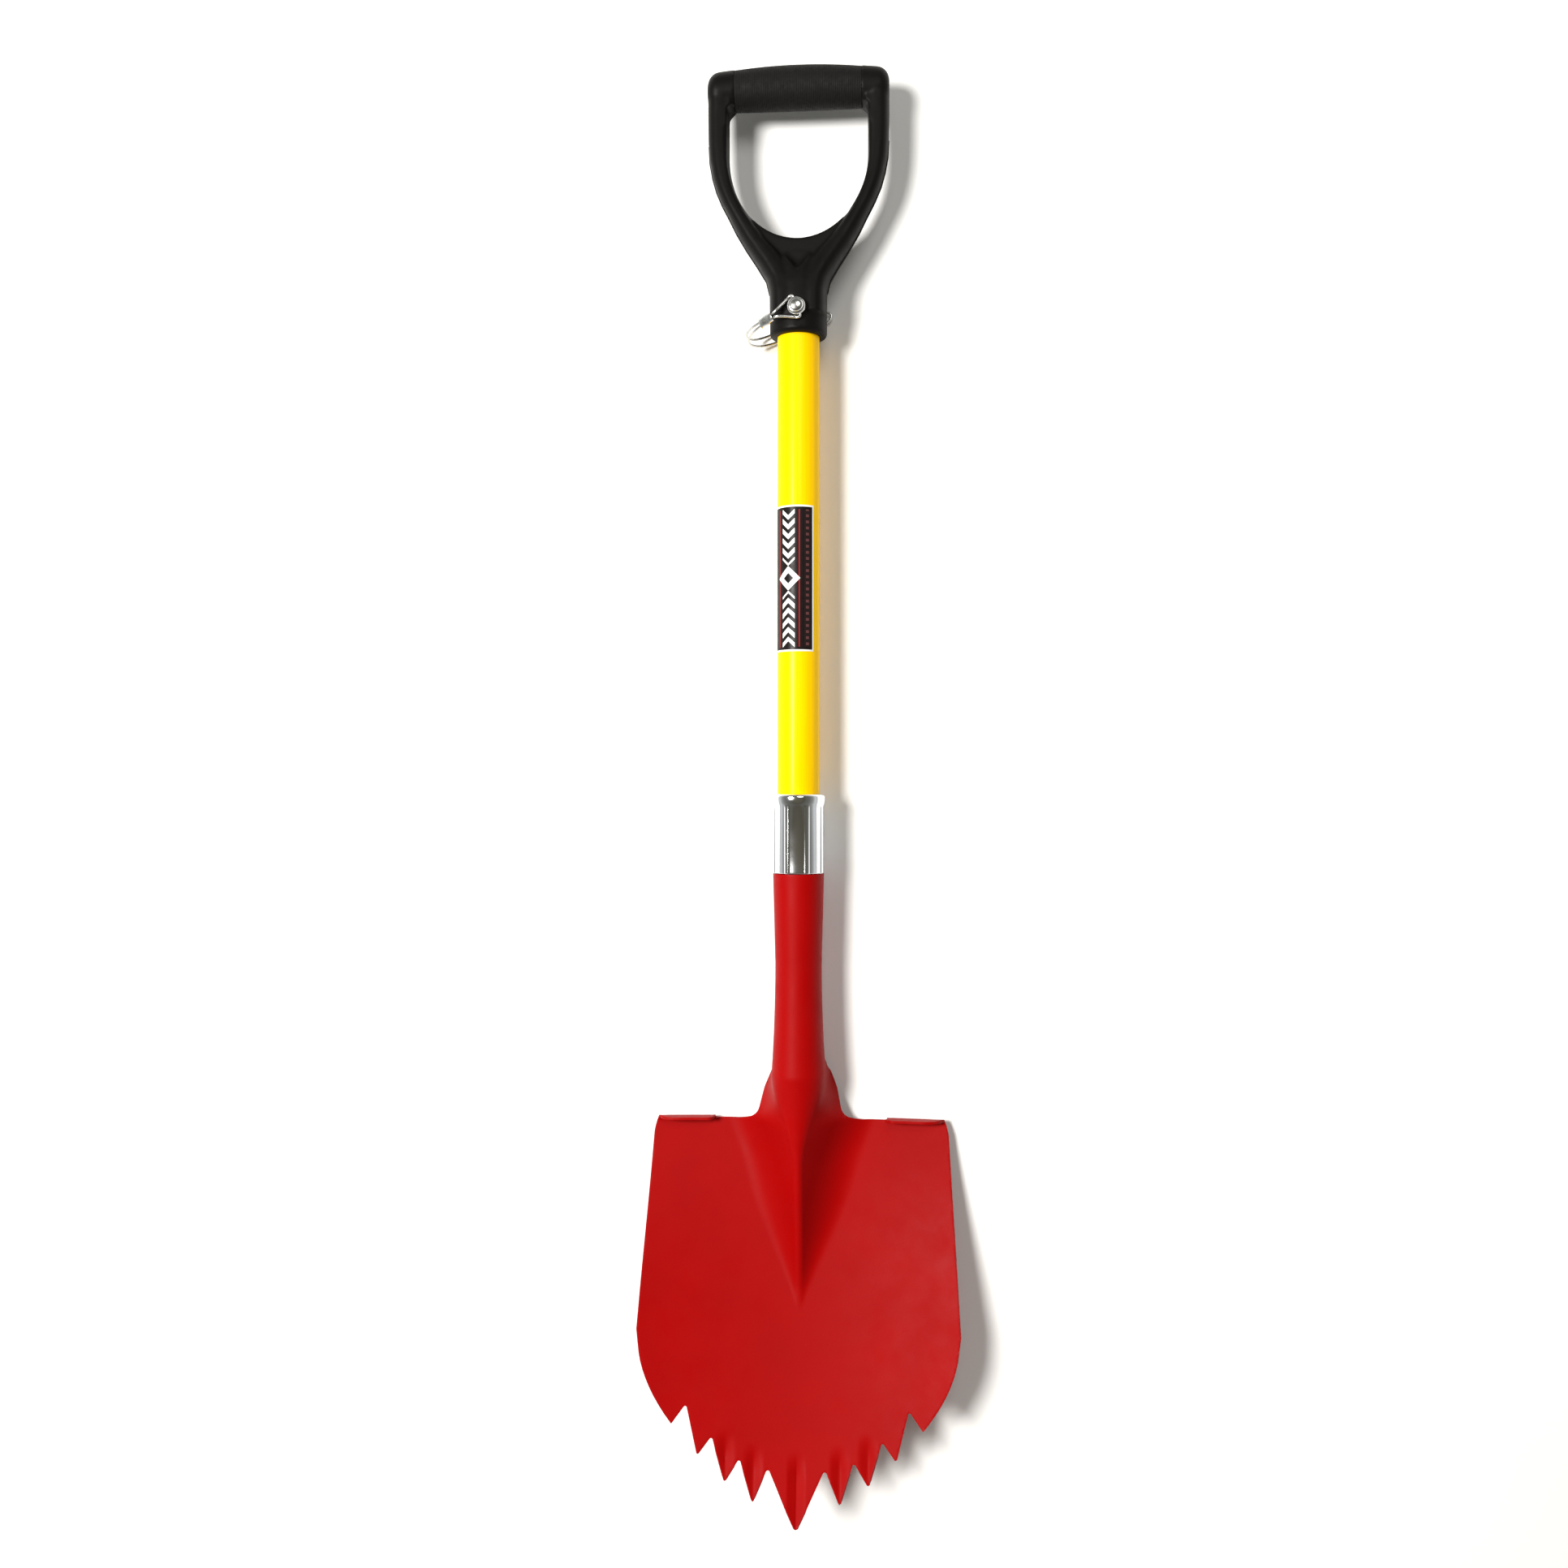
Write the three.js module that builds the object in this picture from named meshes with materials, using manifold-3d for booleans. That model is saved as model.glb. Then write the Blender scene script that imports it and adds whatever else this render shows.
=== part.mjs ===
// Digging shovel with a toothed steel blade, a glass-fibre shaft and a detachable D-grip.
// It lies on its back: +Y runs from the blade to the grip, +Z points out of the scoop.
// Every builder below works in shovel space, where the tip is at y = 0 and the shaft's axis is z = 0.
import * as THREE from 'three';
import { mergeVertices } from 'three/addons/utils/BufferGeometryUtils.js';
import Module from 'manifold-3d';

const wasm = await Module();
wasm.setup();

// ---- driving dimensions, millimetres and degrees ----
const clearance = 0.3;

const bladeLength = 273;
const bladeWidth = 230;
const bladeHeelWidth = bladeWidth - 15;
const widestY = 130;
const sheetThickness = 2;
const heelDrop = 28.8;
const tipRise = 33;
const lengthBow = 5;
const heelDish = 7;
const middleDish = 15;
const heelCornerRadius = 9;
const heelCornerLean = 0.4;
const sideBulge = 6;
// Each tooth and notch: its place as a share of the blade's half width, and its distance from the tip.
const toothTips = [[0.2652, 15], [0.4383, 28], [0.6061, 46.5], [0.7696, 67.5]];
const toothNotches = [[0.1739, 39], [0.3478, 45], [0.52, 59], [0.6826, 80]];

const treadLength = 44;
const treadHeight = 13;
const treadBend = 2;
const treadInset = 0.5;
const treadBendRadius = 3;
const treadRoot = 4;
const treadCornerFall = 5;

const frogLength = 116;
const frogFlankAngle = 49;
const frogCreaseRadius = 3;
const frogFootBlend = 18;
const creaseFade = 30;
const neckFlankAngle = 87;

const shaftRadius = 15;
const shaftBore = shaftRadius - 4;
const shaftVisibleLength = 325;
const spigotRadius = shaftRadius - 0.8;
const spigotLength = 108;
const spigotTaper = 25;
const shaftInGrip = 42;
const lowerCoreLength = 150;
const upperCoreLength = 78;

const socketLength = 143.5;
const socketPlay = 0.4;
const waistRadius = spigotRadius + socketPlay + sheetThickness / 2;
const waistAbove = 80;
const mouthRadius = waistRadius + 1.6;
const neckRadius = waistRadius + 2.8;
const neckLength = 37;
const neckMargin = 1.8;
const wingHalfWidth = neckRadius + 11.6;
const neckHeelHalfWidth = wingHalfWidth + 13;
const wingRise = 12;
const curlLength = 36;
const seamShare = 0.985;
const shaftStepInSocket = 9;

const ferruleBodyRadius = shaftRadius + 3.9;
const ferruleBodyLength = 48.4;
const ferruleRimRadius = ferruleBodyRadius + 0.4;
const ferruleRimChamfer = [1.4, 1.6];
const ferruleRimLength = 8;
const ferruleSkirtLength = 7;
const fluteCount = 8;
const fluteAngle = 37.5;
const fluteDepth = 0.6;

const labelLength = 103;
const labelAboveFerrule = 100.6;
const labelStart = -97;
const labelEnd = 48;
const labelThickness = 0.3;

const rivetShankRadius = 2.5;
const rivetHeadRadius = 5;
const rivetHeadHeight = 2.2;
const rivetDepth = 12;
const rivetInset = 30;
const rivetSpacing = 48;

const barrelRadius = shaftRadius + 5.4;
const barrelLength = 30;
const barrelChamfer = 1.6;
const gripWidth = 129.4;
const gripHeight = 194;
const gripPlate = 24;
const gripPlateBevel = 5.5;
const armWidth = 14.7;
// The arm's outer edge: shares of the way from barrel to grip side, and rises over the barrel's shoulder.
const armSweep = [[0, 8], [0.104, 15], [0.239, 25], [0.623, 53], [0.826, 67], [0.977, 82], [1, 104]];
// The barrel's crown: steps in from its radius, and rises over its shoulder.
const barrelCrown = [[0, -2], [1.4, 8], [4.2, 18], [7.6, 28]];
const barrelCrownTop = 33;
const openingBottom = 70.5;
const openingArc = 59.5;
const cornerRadius = 14.6;
const cornerRound = 9;
const gripBarRadius = 7;
const gripBarSeat = 9;
const sleeveRadius = 15.3;
const sleeveEndRadius = 14;
const sleeveLength = gripWidth - 2 * (armWidth + 4.5);

const pinAboveRim = 16;
const pinRadius = 4;
const pinBushWall = 1;
const pinHeadRadius = pinRadius + 2.5;
const pinHeadHeight = 5;
const pinDomeRadius = 4.6;
const pinDomeHeight = 1.6;
const pinNoseRadius = 2.4;
const pinNoseReach = 9.6;
const pinNeckReach = 1.6;

const wireRadius = 0.95;
const bailTilt = 21;
const bailReach = 39.5;
const strandGap = 1.3;
const strandSpread = 3.8;
const strandDrop = 6.6;
const bailOverhang = 3.4;
const crimpStart = 17.5;
const crimpDrop = 1.2;
const crimpSlope = 32.7;
const crimpLength = 12.5;
const crimpWall = 0.8;

const sheetReach = 0.54;
const rollDelay = 4;
const centreCrowding = 0.45;
const sheetOverrun = 6;
const columnsPerSide = 15;
const roundSegments = 32;
const wireSides = 8;
const wireSteps = 80;

// ---- places that follow from the dimensions ----
const heelY = bladeLength;
const kinkY = heelY + neckLength;
const socketTop = kinkY + socketLength;
const waistY = kinkY + waistAbove;
const ferruleBottom = socketTop + clearance;
const rimBottom = ferruleBottom + ferruleBodyLength;
const ferruleTop = rimBottom + ferruleRimLength;
const barrelBottom = ferruleTop + shaftVisibleLength;
const barrelShoulder = barrelBottom + barrelLength;
const gripTop = barrelBottom + gripHeight;
const overallLength = gripTop;
const openingBottomY = barrelBottom + openingBottom - clearance;
const gripBarY = gripTop - sleeveRadius;
const pinY = barrelBottom + pinAboveRim;
const shaftTop = barrelBottom + shaftInGrip;
const shaftFoot = socketTop - spigotLength;
const upperRivetY = socketTop - rivetInset;
const rivetStations = { upper: upperRivetY, lower: upperRivetY - rivetSpacing };
const pinHeadFoot = barrelRadius + clearance;
const pivotZ = pinHeadFoot + pinHeadHeight * 0.55;
const strandZ = -(barrelRadius + strandDrop);
const pinNoseTip = -(barrelRadius + pinNoseReach);

// ---- materials ----
function finish(colour, roughness, metalness) {
  return new THREE.MeshStandardMaterial({ color: colour, roughness, metalness });
}
const redCoat = finish(0xb01414, 0.5, 0.1);
const chrome = finish(0xd8dadc, 0.12, 1);
const zinc = finish(0xc6c8c8, 0.3, 1);
const steel = finish(0x8d8f90, 0.45, 1);
const yellowGlassFibre = finish(0xffd500, 0.25, 0);
const blackPlastic = finish(0x1c1a1a, 0.5, 0);
const blackRubber = finish(0x141313, 0.85, 0);
const wood = finish(0xc9a26a, 0.8, 0);
const printedFilm = finish(0x17171a, 0.4, 0);

// ---- solids ----
function toSolid(geometry) {
  const bare = geometry.clone();
  bare.deleteAttribute('normal');
  bare.deleteAttribute('uv');
  const merged = mergeVertices(bare, 1e-4);
  const mesh = new wasm.Mesh({
    numProp: 3,
    vertProperties: new Float32Array(merged.attributes.position.array),
    triVerts: new Uint32Array(merged.index.array),
  });
  return new wasm.Manifold(mesh);
}

function toGeometry(solid) {
  const { vertProperties, triVerts } = solid.getMesh();
  const geometry = new THREE.BufferGeometry();
  geometry.setAttribute('position', new THREE.BufferAttribute(vertProperties, 3));
  geometry.setIndex(new THREE.BufferAttribute(triVerts, 1));
  geometry.computeVertexNormals();
  return geometry;
}

function named(name, shape, material) {
  const geometry = shape instanceof THREE.BufferGeometry ? shape : toGeometry(shape);
  const mesh = new THREE.Mesh(geometry, material);
  mesh.name = name;
  return mesh;
}

// A turned solid about the shaft's axis. Profile points are [radius, y].
function turned(profile, segments = roundSegments) {
  const points = profile.map(([radius, y]) => new THREE.Vector2(radius, y));
  return toSolid(new THREE.LatheGeometry(points, segments));
}

function rod(radius, bottom, top, segments = roundSegments) {
  return turned([[0, bottom], [radius, bottom], [radius, top], [0, top]], segments);
}

// A rod along the scoop's direction, +Z, at the place given.
function rodAlongZ(radius, y, low, high, segments = 24) {
  const geometry = new THREE.CylinderGeometry(radius, radius, high - low, segments);
  geometry.rotateX(Math.PI / 2);
  geometry.translate(0, y, (low + high) / 2);
  return toSolid(geometry);
}

function prism(shape, low, high, curveSegments = 10) {
  const geometry = new THREE.ExtrudeGeometry(shape, {
    depth: high - low,
    bevelEnabled: false,
    curveSegments,
  });
  geometry.translate(0, 0, low);
  return toSolid(geometry);
}

// ---- blade and socket: one sheet of steel ----
const smooth = THREE.MathUtils.smoothstep;
const mix = THREE.MathUtils.lerp;
const radians = THREE.MathUtils.degToRad;

function smoothMax(a, b, blend) {
  const near = Math.max(blend - Math.abs(a - b), 0) / blend;
  return Math.max(a, b) + near * near * blend * 0.25;
}

// The scoop's surface. Past the heel it runs on level, where the socket's sides end.
function dishHeight(x, y) {
  const fromHeel = Math.max(0, (heelY - y) / heelY);
  const bow = 4 * lengthBow * fromHeel * (1 - fromHeel);
  const centre = mix(-heelDrop, tipRise, fromHeel) - bow;
  const depth = mix(heelDish, middleDish, smooth(fromHeel, 0, 0.45));
  return centre + depth * (2 * x / bladeWidth) ** 2;
}

function crestHeight(y) {
  const frogPoint = heelY - frogLength;
  const share = (y - frogPoint) / (kinkY - frogPoint);
  return mix(dishHeight(0, frogPoint), neckRadius, share);
}

// The frog is a roof with a rounded crease. Past the heel it steepens into the socket's sides.
function frogHeight(x, y) {
  const radius = mix(frogCreaseRadius, neckRadius, smooth(y, heelY - creaseFade, kinkY));
  const flank = radians(mix(frogFlankAngle, neckFlankAngle, smooth(y, heelY, kinkY)));
  const edge = radius * Math.sin(flank);
  const side = Math.abs(x);
  if (side < edge) return crestHeight(y) - radius + Math.sqrt(radius * radius - side * side);
  return crestHeight(y) - radius + radius * Math.cos(flank) - Math.tan(flank) * (side - edge);
}

function sheetHeight(x, y) {
  return smoothMax(dishHeight(x, y), frogHeight(x, y), frogFootBlend);
}

function socketRadius(y) {
  if (y < waistY) return waistRadius + (neckRadius - waistRadius) * ((waistY - y) / waistAbove) ** 2;
  return mix(waistRadius, mouthRadius, (y - waistY) / (socketTop - waistY));
}

// The free radius inside the socket, measured to the middle of the sheet's flat facets.
function socketBore(y) {
  return socketRadius(y) * Math.cos(Math.PI / (2 * columnsPerSide)) - sheetThickness / 2;
}

// Walks along the pressed sheet at one station until it has gone the wanted distance from the crease.
function walkSheet(y, distance) {
  const step = 0.05;
  let x = 0;
  let gone = 0;
  let z = sheetHeight(0, y);
  while (gone < distance) {
    const nextZ = sheetHeight(x + step, y);
    const length = Math.hypot(step, nextZ - z);
    const share = Math.min(1, (distance - gone) / length);
    x += step * share;
    z += (nextZ - z) * share;
    gone += length;
  }
  return [x, z];
}

function pressedPoint(share, y) {
  const full = bladeWidth * sheetReach;
  const socketHalf = Math.PI * neckRadius * seamShare;
  const rollStart = heelY + rollDelay;
  const rolled = smooth(y, rollStart, kinkY);
  const spread = mix(mix(share ** 3, share, centreCrowding), share, rolled);
  if (y <= rollStart) return [spread * full, sheetHeight(spread * full, y)];
  return walkSheet(y, spread * mix(full, socketHalf, rolled));
}

// Above the kink the sheet is a half round with two sides that curl in to meet at the back.
function rolledPoint(share, y) {
  const radius = socketRadius(y);
  const half = Math.PI * radius;
  const along = share * half * seamShare;
  if (along <= half / 2) {
    const angle = along / radius;
    return [radius * Math.sin(angle), radius * Math.cos(angle)];
  }
  const curl = Math.max(smooth(y, kinkY, kinkY + curlLength), 0.01);
  const turn = (along - half / 2) * curl / radius;
  return [radius - radius / curl * (1 - Math.cos(turn)), -radius / curl * Math.sin(turn)];
}

function sheetRow(y) {
  const right = [];
  for (let i = 0; i <= columnsPerSide; i++) {
    const share = i / columnsPerSide;
    const [x, z] = y <= kinkY ? pressedPoint(share, y) : rolledPoint(share, y);
    right.push(new THREE.Vector3(x, y, z));
  }
  const left = right.slice(1).reverse().map((point) => new THREE.Vector3(-point.x, y, point.z));
  return [...left, ...right];
}

function sheetStations() {
  const stations = [];
  const add = (from, to, count) => {
    for (let i = 0; i < count; i++) stations.push(mix(from, to, i / count));
  };
  add(-sheetOverrun, heelY - frogLength - 10, 10);
  add(heelY - frogLength - 10, heelY, 14);
  add(heelY, kinkY, 9);
  add(kinkY, kinkY + curlLength, 6);
  add(kinkY + curlLength, socketTop, 6);
  stations.push(socketTop);
  return stations;
}

// Gives a grid of middle points its thickness and closes it all round.
function thickSheet(rows, thickness) {
  const rowCount = rows.length;
  const columnCount = rows[0].length;
  const positions = [];
  for (const side of [1, -1]) {
    for (let r = 0; r < rowCount; r++) {
      for (let c = 0; c < columnCount; c++) {
        const across = rows[r][Math.min(c + 1, columnCount - 1)].clone().sub(rows[r][Math.max(c - 1, 0)]);
        const along = rows[Math.min(r + 1, rowCount - 1)][c].clone().sub(rows[Math.max(r - 1, 0)][c]);
        if (r === rowCount - 1 || r === 0) along.set(0, 1, 0);
        const normal = across.cross(along).normalize();
        const point = rows[r][c].clone().addScaledVector(normal, side * thickness / 2);
        positions.push(point.x, r === rowCount - 1 || r === 0 ? rows[r][c].y : point.y, point.z);
      }
    }
  }
  const under = rowCount * columnCount;
  const at = (r, c) => r * columnCount + c;
  const triangles = [];
  const quad = (a, b, c, d) => triangles.push(a, b, c, a, c, d);
  for (let r = 0; r + 1 < rowCount; r++) {
    for (let c = 0; c + 1 < columnCount; c++) {
      quad(at(r, c), at(r, c + 1), at(r + 1, c + 1), at(r + 1, c));
      quad(under + at(r, c), under + at(r + 1, c), under + at(r + 1, c + 1), under + at(r, c + 1));
    }
    const last = columnCount - 1;
    quad(at(r, 0), at(r + 1, 0), under + at(r + 1, 0), under + at(r, 0));
    quad(at(r, last), under + at(r, last), under + at(r + 1, last), at(r + 1, last));
  }
  for (let c = 0; c + 1 < columnCount; c++) {
    const last = rowCount - 1;
    quad(at(0, c), under + at(0, c), under + at(0, c + 1), at(0, c + 1));
    quad(at(last, c), at(last, c + 1), under + at(last, c + 1), under + at(last, c));
  }
  const geometry = new THREE.BufferGeometry();
  geometry.setAttribute('position', new THREE.Float32BufferAttribute(positions, 3));
  geometry.setIndex(triangles);
  return toSolid(geometry);
}

// Half of the blade's plan from the kink to the tip. side is 1 on the right and -1 on the left.
function halfOutline(side) {
  const path = new THREE.Path();
  const wide = bladeWidth;
  const heelHalf = bladeHeelWidth / 2;
  const neckHalf = neckRadius + sheetThickness / 2 + neckMargin;
  path.moveTo(side * wide, socketTop + 10);
  path.lineTo(side * wide, kinkY + 0.5);
  path.lineTo(side * neckHalf, kinkY);
  path.lineTo(side * wingHalfWidth, heelY + wingRise);
  path.quadraticCurveTo(side * (wingHalfWidth + 2), heelY, side * neckHeelHalfWidth, heelY);
  path.lineTo(side * (heelHalf - heelCornerRadius), heelY);
  const cornerX = heelHalf + heelCornerLean;
  path.quadraticCurveTo(side * heelHalf, heelY, side * cornerX, heelY - heelCornerRadius);
  const half = bladeWidth / 2;
  path.lineTo(side * half, widestY);
  const [outerShare, outerY] = toothTips[toothTips.length - 1];
  const bulgeY = (widestY + outerY) / 2 - sideBulge;
  path.quadraticCurveTo(side * (half - sideBulge), bulgeY, side * outerShare * half, outerY);
  for (let i = toothTips.length - 1; i >= 0; i--) {
    const [notchShare, notchY] = toothNotches[i];
    path.lineTo(side * notchShare * half, notchY);
    if (i > 0) path.lineTo(side * toothTips[i - 1][0] * half, toothTips[i - 1][1]);
  }
  return path.getPoints(6);
}

function bladePlan() {
  const right = halfOutline(1);
  const left = halfOutline(-1).reverse();
  return new THREE.Shape([...right, new THREE.Vector2(0, 0), ...left]);
}

// A foot tread: the heel's edge turned forward. Its face towards the shaft is flat.
function treadSolid(side) {
  const outer = bladeHeelWidth / 2 - treadInset;
  const inner = outer - treadLength;
  const steps = 6;
  const rounds = 4;
  const ringOf = (x) => {
    const foot = dishHeight(x, heelY) - sheetThickness / 2;
    const fall = Math.max(0, x - (outer - heelCornerRadius)) / heelCornerRadius;
    const top = foot + sheetThickness + treadHeight - treadCornerFall * fall * fall;
    const back = heelY + treadBend;
    const front = back - sheetThickness;
    const root = front - treadRoot;
    const lift = 0.2 * sheetThickness;
    const ring = [[root, foot + lift]];
    for (let i = 0; i <= rounds; i++) {
      const angle = (i / rounds) * Math.PI / 2;
      const outward = treadBendRadius * (1 - Math.sin(angle));
      ring.push([back - outward, foot + treadBendRadius * (1 - Math.cos(angle))]);
    }
    const inside = foot + sheetThickness + treadBendRadius / 2;
    ring.push([back, top], [front, top], [front, inside], [root, foot + sheetThickness + lift]);
    return ring.map(([y, z]) => new THREE.Vector3(side * x, y, z));
  };
  const rings = [];
  for (let i = 0; i <= steps; i++) rings.push(ringOf(mix(inner, outer, i / steps)));
  return loft(side > 0 ? rings : rings.reverse());
}

// Joins rings of equal length, stacked along +X, into a closed solid with flat ends.
function loft(rings) {
  const count = rings[0].length;
  const positions = rings.flat().flatMap((point) => [point.x, point.y, point.z]);
  const triangles = [];
  for (let r = 0; r + 1 < rings.length; r++) {
    for (let i = 0; i < count; i++) {
      const next = (i + 1) % count;
      const a = r * count + i;
      const b = r * count + next;
      triangles.push(a, b, b + count, a, b + count, a + count);
    }
  }
  const flat = rings[0].map((point) => new THREE.Vector2(point.y, point.z));
  const last = (rings.length - 1) * count;
  const forward = THREE.ShapeUtils.area(flat) > 0;
  for (const [a, b, c] of THREE.ShapeUtils.triangulateShape(flat, [])) {
    if (forward) {
      triangles.push(a, c, b, last + a, last + b, last + c);
    } else {
      triangles.push(a, b, c, last + a, last + c, last + b);
    }
  }
  if (!forward) {
    for (let i = 0; i < rings.length * count * 6 - count * 6; i += 3) {
      [triangles[i + 1], triangles[i + 2]] = [triangles[i + 2], triangles[i + 1]];
    }
  }
  const geometry = new THREE.BufferGeometry();
  geometry.setAttribute('position', new THREE.Float32BufferAttribute(positions, 3));
  geometry.setIndex(triangles);
  return toSolid(geometry);
}

function rivetHole(y) {
  return rodAlongZ(rivetShankRadius + clearance, y, -2 * mouthRadius, -rivetBottom(y));
}

// How far from the axis the rivet's blind end lies.
function rivetBottom(y) {
  return socketRadius(y) - rivetDepth - clearance;
}

function bladeSolid() {
  let sheet = thickSheet(sheetStations().map(sheetRow), sheetThickness);
  sheet = sheet.intersect(prism(bladePlan(), -100, 150));
  for (const side of [1, -1]) sheet = sheet.add(treadSolid(side));
  for (const y of Object.values(rivetStations)) sheet = sheet.subtract(rivetHole(y));
  return sheet;
}

function rivetSolid(y) {
  const seat = socketRadius(y) + sheetThickness / 2 + clearance;
  const steps = 4;
  const profile = [[0, rivetBottom(y) + clearance], [rivetShankRadius, rivetBottom(y) + clearance]];
  profile.push([rivetShankRadius, seat]);
  for (let i = 0; i < steps; i++) {
    const angle = (i / steps) * Math.PI / 2;
    profile.push([rivetHeadRadius * Math.cos(angle), seat + rivetHeadHeight * Math.sin(angle)]);
  }
  profile.push([0, seat + rivetHeadHeight]);
  const points = profile.map(([radius, z]) => new THREE.Vector2(radius, z));
  const geometry = new THREE.LatheGeometry(points, 20);
  geometry.rotateX(-Math.PI / 2);
  geometry.translate(0, y, 0);
  return toSolid(geometry);
}

// ---- shaft, its cores, the ferrule and the label ----
function pinHole() {
  return rodAlongZ(pinRadius + clearance, pinY, -2 * barrelRadius, 2 * barrelRadius);
}

function shaftSolid() {
  const step = socketTop - shaftStepInSocket;
  let shaft = turned([
    [shaftBore, shaftFoot], [spigotRadius, shaftFoot], [spigotRadius, step - spigotTaper],
    [shaftRadius, step], [shaftRadius, shaftTop], [shaftBore, shaftTop], [shaftBore, shaftFoot],
  ]);
  for (const y of Object.values(rivetStations)) shaft = shaft.subtract(rivetHole(y));
  return shaft.subtract(pinHole());
}

function lowerCoreSolid() {
  let core = rod(shaftBore - clearance, shaftFoot, shaftFoot + lowerCoreLength, 24);
  for (const y of Object.values(rivetStations)) core = core.subtract(rivetHole(y));
  return core;
}

function upperCoreSolid() {
  return rod(shaftBore - clearance, shaftTop - upperCoreLength, shaftTop, 24).subtract(pinHole());
}

function fluteSolid(index) {
  const shape = new THREE.Shape();
  const start = radians(index * 360 / fluteCount - fluteAngle / 2);
  const end = start + radians(fluteAngle);
  const floor = ferruleBodyRadius - fluteDepth;
  const beyond = ferruleBodyRadius + 3;
  shape.moveTo(floor * Math.cos(start), floor * Math.sin(start));
  shape.absarc(0, 0, floor, start, end, false);
  shape.lineTo(beyond * Math.cos(end), beyond * Math.sin(end));
  shape.lineTo(beyond * Math.cos(start), beyond * Math.sin(start));
  const geometry = new THREE.ExtrudeGeometry(shape, {
    depth: ferruleBodyLength + 1,
    bevelEnabled: false,
    curveSegments: 4,
  });
  geometry.rotateX(-Math.PI / 2);
  geometry.rotateY(Math.PI / 2);
  geometry.translate(0, ferruleBottom - 1, 0);
  return toSolid(geometry);
}

function ferruleSolid() {
  const bore = shaftRadius + clearance;
  const skirt = socketBore(ferruleBottom - ferruleSkirtLength) - clearance;
  const [chamferIn, chamferDown] = ferruleRimChamfer;
  let ferrule = turned([
    [bore, ferruleBottom - ferruleSkirtLength], [skirt, ferruleBottom - ferruleSkirtLength],
    [skirt, ferruleBottom], [ferruleBodyRadius, ferruleBottom], [ferruleBodyRadius, rimBottom],
    [ferruleRimRadius, rimBottom + 0.9], [ferruleRimRadius, ferruleTop - chamferDown],
    [ferruleRimRadius - chamferIn, ferruleTop], [bore, ferruleTop],
    [bore, ferruleBottom - ferruleSkirtLength],
  ], 48);
  for (let i = 0; i < fluteCount; i++) ferrule = ferrule.subtract(fluteSolid(i));
  return ferrule;
}

function labelSolid() {
  const inner = shaftRadius + clearance / 2;
  const start = radians(90 - labelEnd);
  const end = radians(90 - labelStart);
  const shape = new THREE.Shape();
  shape.absarc(0, 0, inner + labelThickness, start, end, false);
  shape.absarc(0, 0, inner, end, start, true);
  const geometry = new THREE.ExtrudeGeometry(shape, {
    depth: labelLength,
    bevelEnabled: false,
    curveSegments: 18,
  });
  geometry.rotateX(Math.PI / 2);
  geometry.translate(0, ferruleTop + labelAboveFerrule + labelLength, 0);
  return toSolid(geometry);
}

// ---- D-grip ----
function gripPlan() {
  const half = gripWidth / 2;
  const inner = half - armWidth;
  const armTop = gripBarY;
  const arcTop = openingBottomY + openingArc;
  const shape = new THREE.Shape();
  const rightEdge = (path, side) => {
    const sweep = armSweep.map(([share, rise]) => {
      return [side * mix(barrelRadius, half, share), barrelShoulder + rise];
    });
    path.bezierCurveTo(...sweep[0], ...sweep[1], ...sweep[2]);
    path.lineTo(...sweep[3]);
    path.bezierCurveTo(...sweep[4], ...sweep[5], ...sweep[6]);
  };
  shape.moveTo(barrelRadius, barrelShoulder);
  rightEdge(shape, 1);
  shape.lineTo(half, armTop);
  shape.lineTo(inner, armTop);
  shape.lineTo(inner, arcTop);
  shape.absellipse(0, arcTop, inner, openingArc, 0, Math.PI, true);
  shape.lineTo(-inner, armTop);
  shape.lineTo(-half, armTop);
  const left = new THREE.Path();
  left.moveTo(-barrelRadius, barrelShoulder);
  rightEdge(left, -1);
  const rightPoints = shape.getPoints(8);
  return new THREE.Shape([...rightPoints, ...left.getPoints(8).reverse()]);
}

function gripPlateSolid() {
  const bevel = gripPlateBevel;
  const geometry = new THREE.ExtrudeGeometry(gripPlan(), {
    depth: gripPlate - 2 * bevel,
    bevelEnabled: true,
    bevelThickness: bevel,
    bevelSize: bevel - 1,
    bevelOffset: 1 - bevel,
    bevelSegments: 3,
  });
  geometry.translate(0, 0, bevel - gripPlate / 2);
  return toSolid(geometry);
}

// A turned solid about the hand bar. Profile points are [radius, x].
function turnedAlongX(profile, segments = 28) {
  const points = profile.map(([radius, x]) => new THREE.Vector2(radius, x));
  const geometry = new THREE.LatheGeometry(points, segments);
  geometry.rotateZ(-Math.PI / 2);
  geometry.translate(0, gripBarY, 0);
  return toSolid(geometry);
}

function cornerSolid() {
  const end = gripWidth / 2;
  const start = sleeveLength / 2 + clearance;
  const steps = 4;
  const profile = [[0, start], [cornerRadius, start]];
  for (let i = 0; i <= steps; i++) {
    const angle = (i / steps) * Math.PI / 2;
    profile.push([
      cornerRadius - cornerRound + cornerRound * Math.cos(angle),
      end - cornerRound + cornerRound * Math.sin(angle),
    ]);
  }
  profile.push([0, end]);
  return turnedAlongX(profile);
}

function mirrored(solid) {
  const geometry = toGeometry(solid);
  geometry.scale(-1, 1, 1);
  geometry.index.array.reverse();
  return toSolid(geometry);
}

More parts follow.
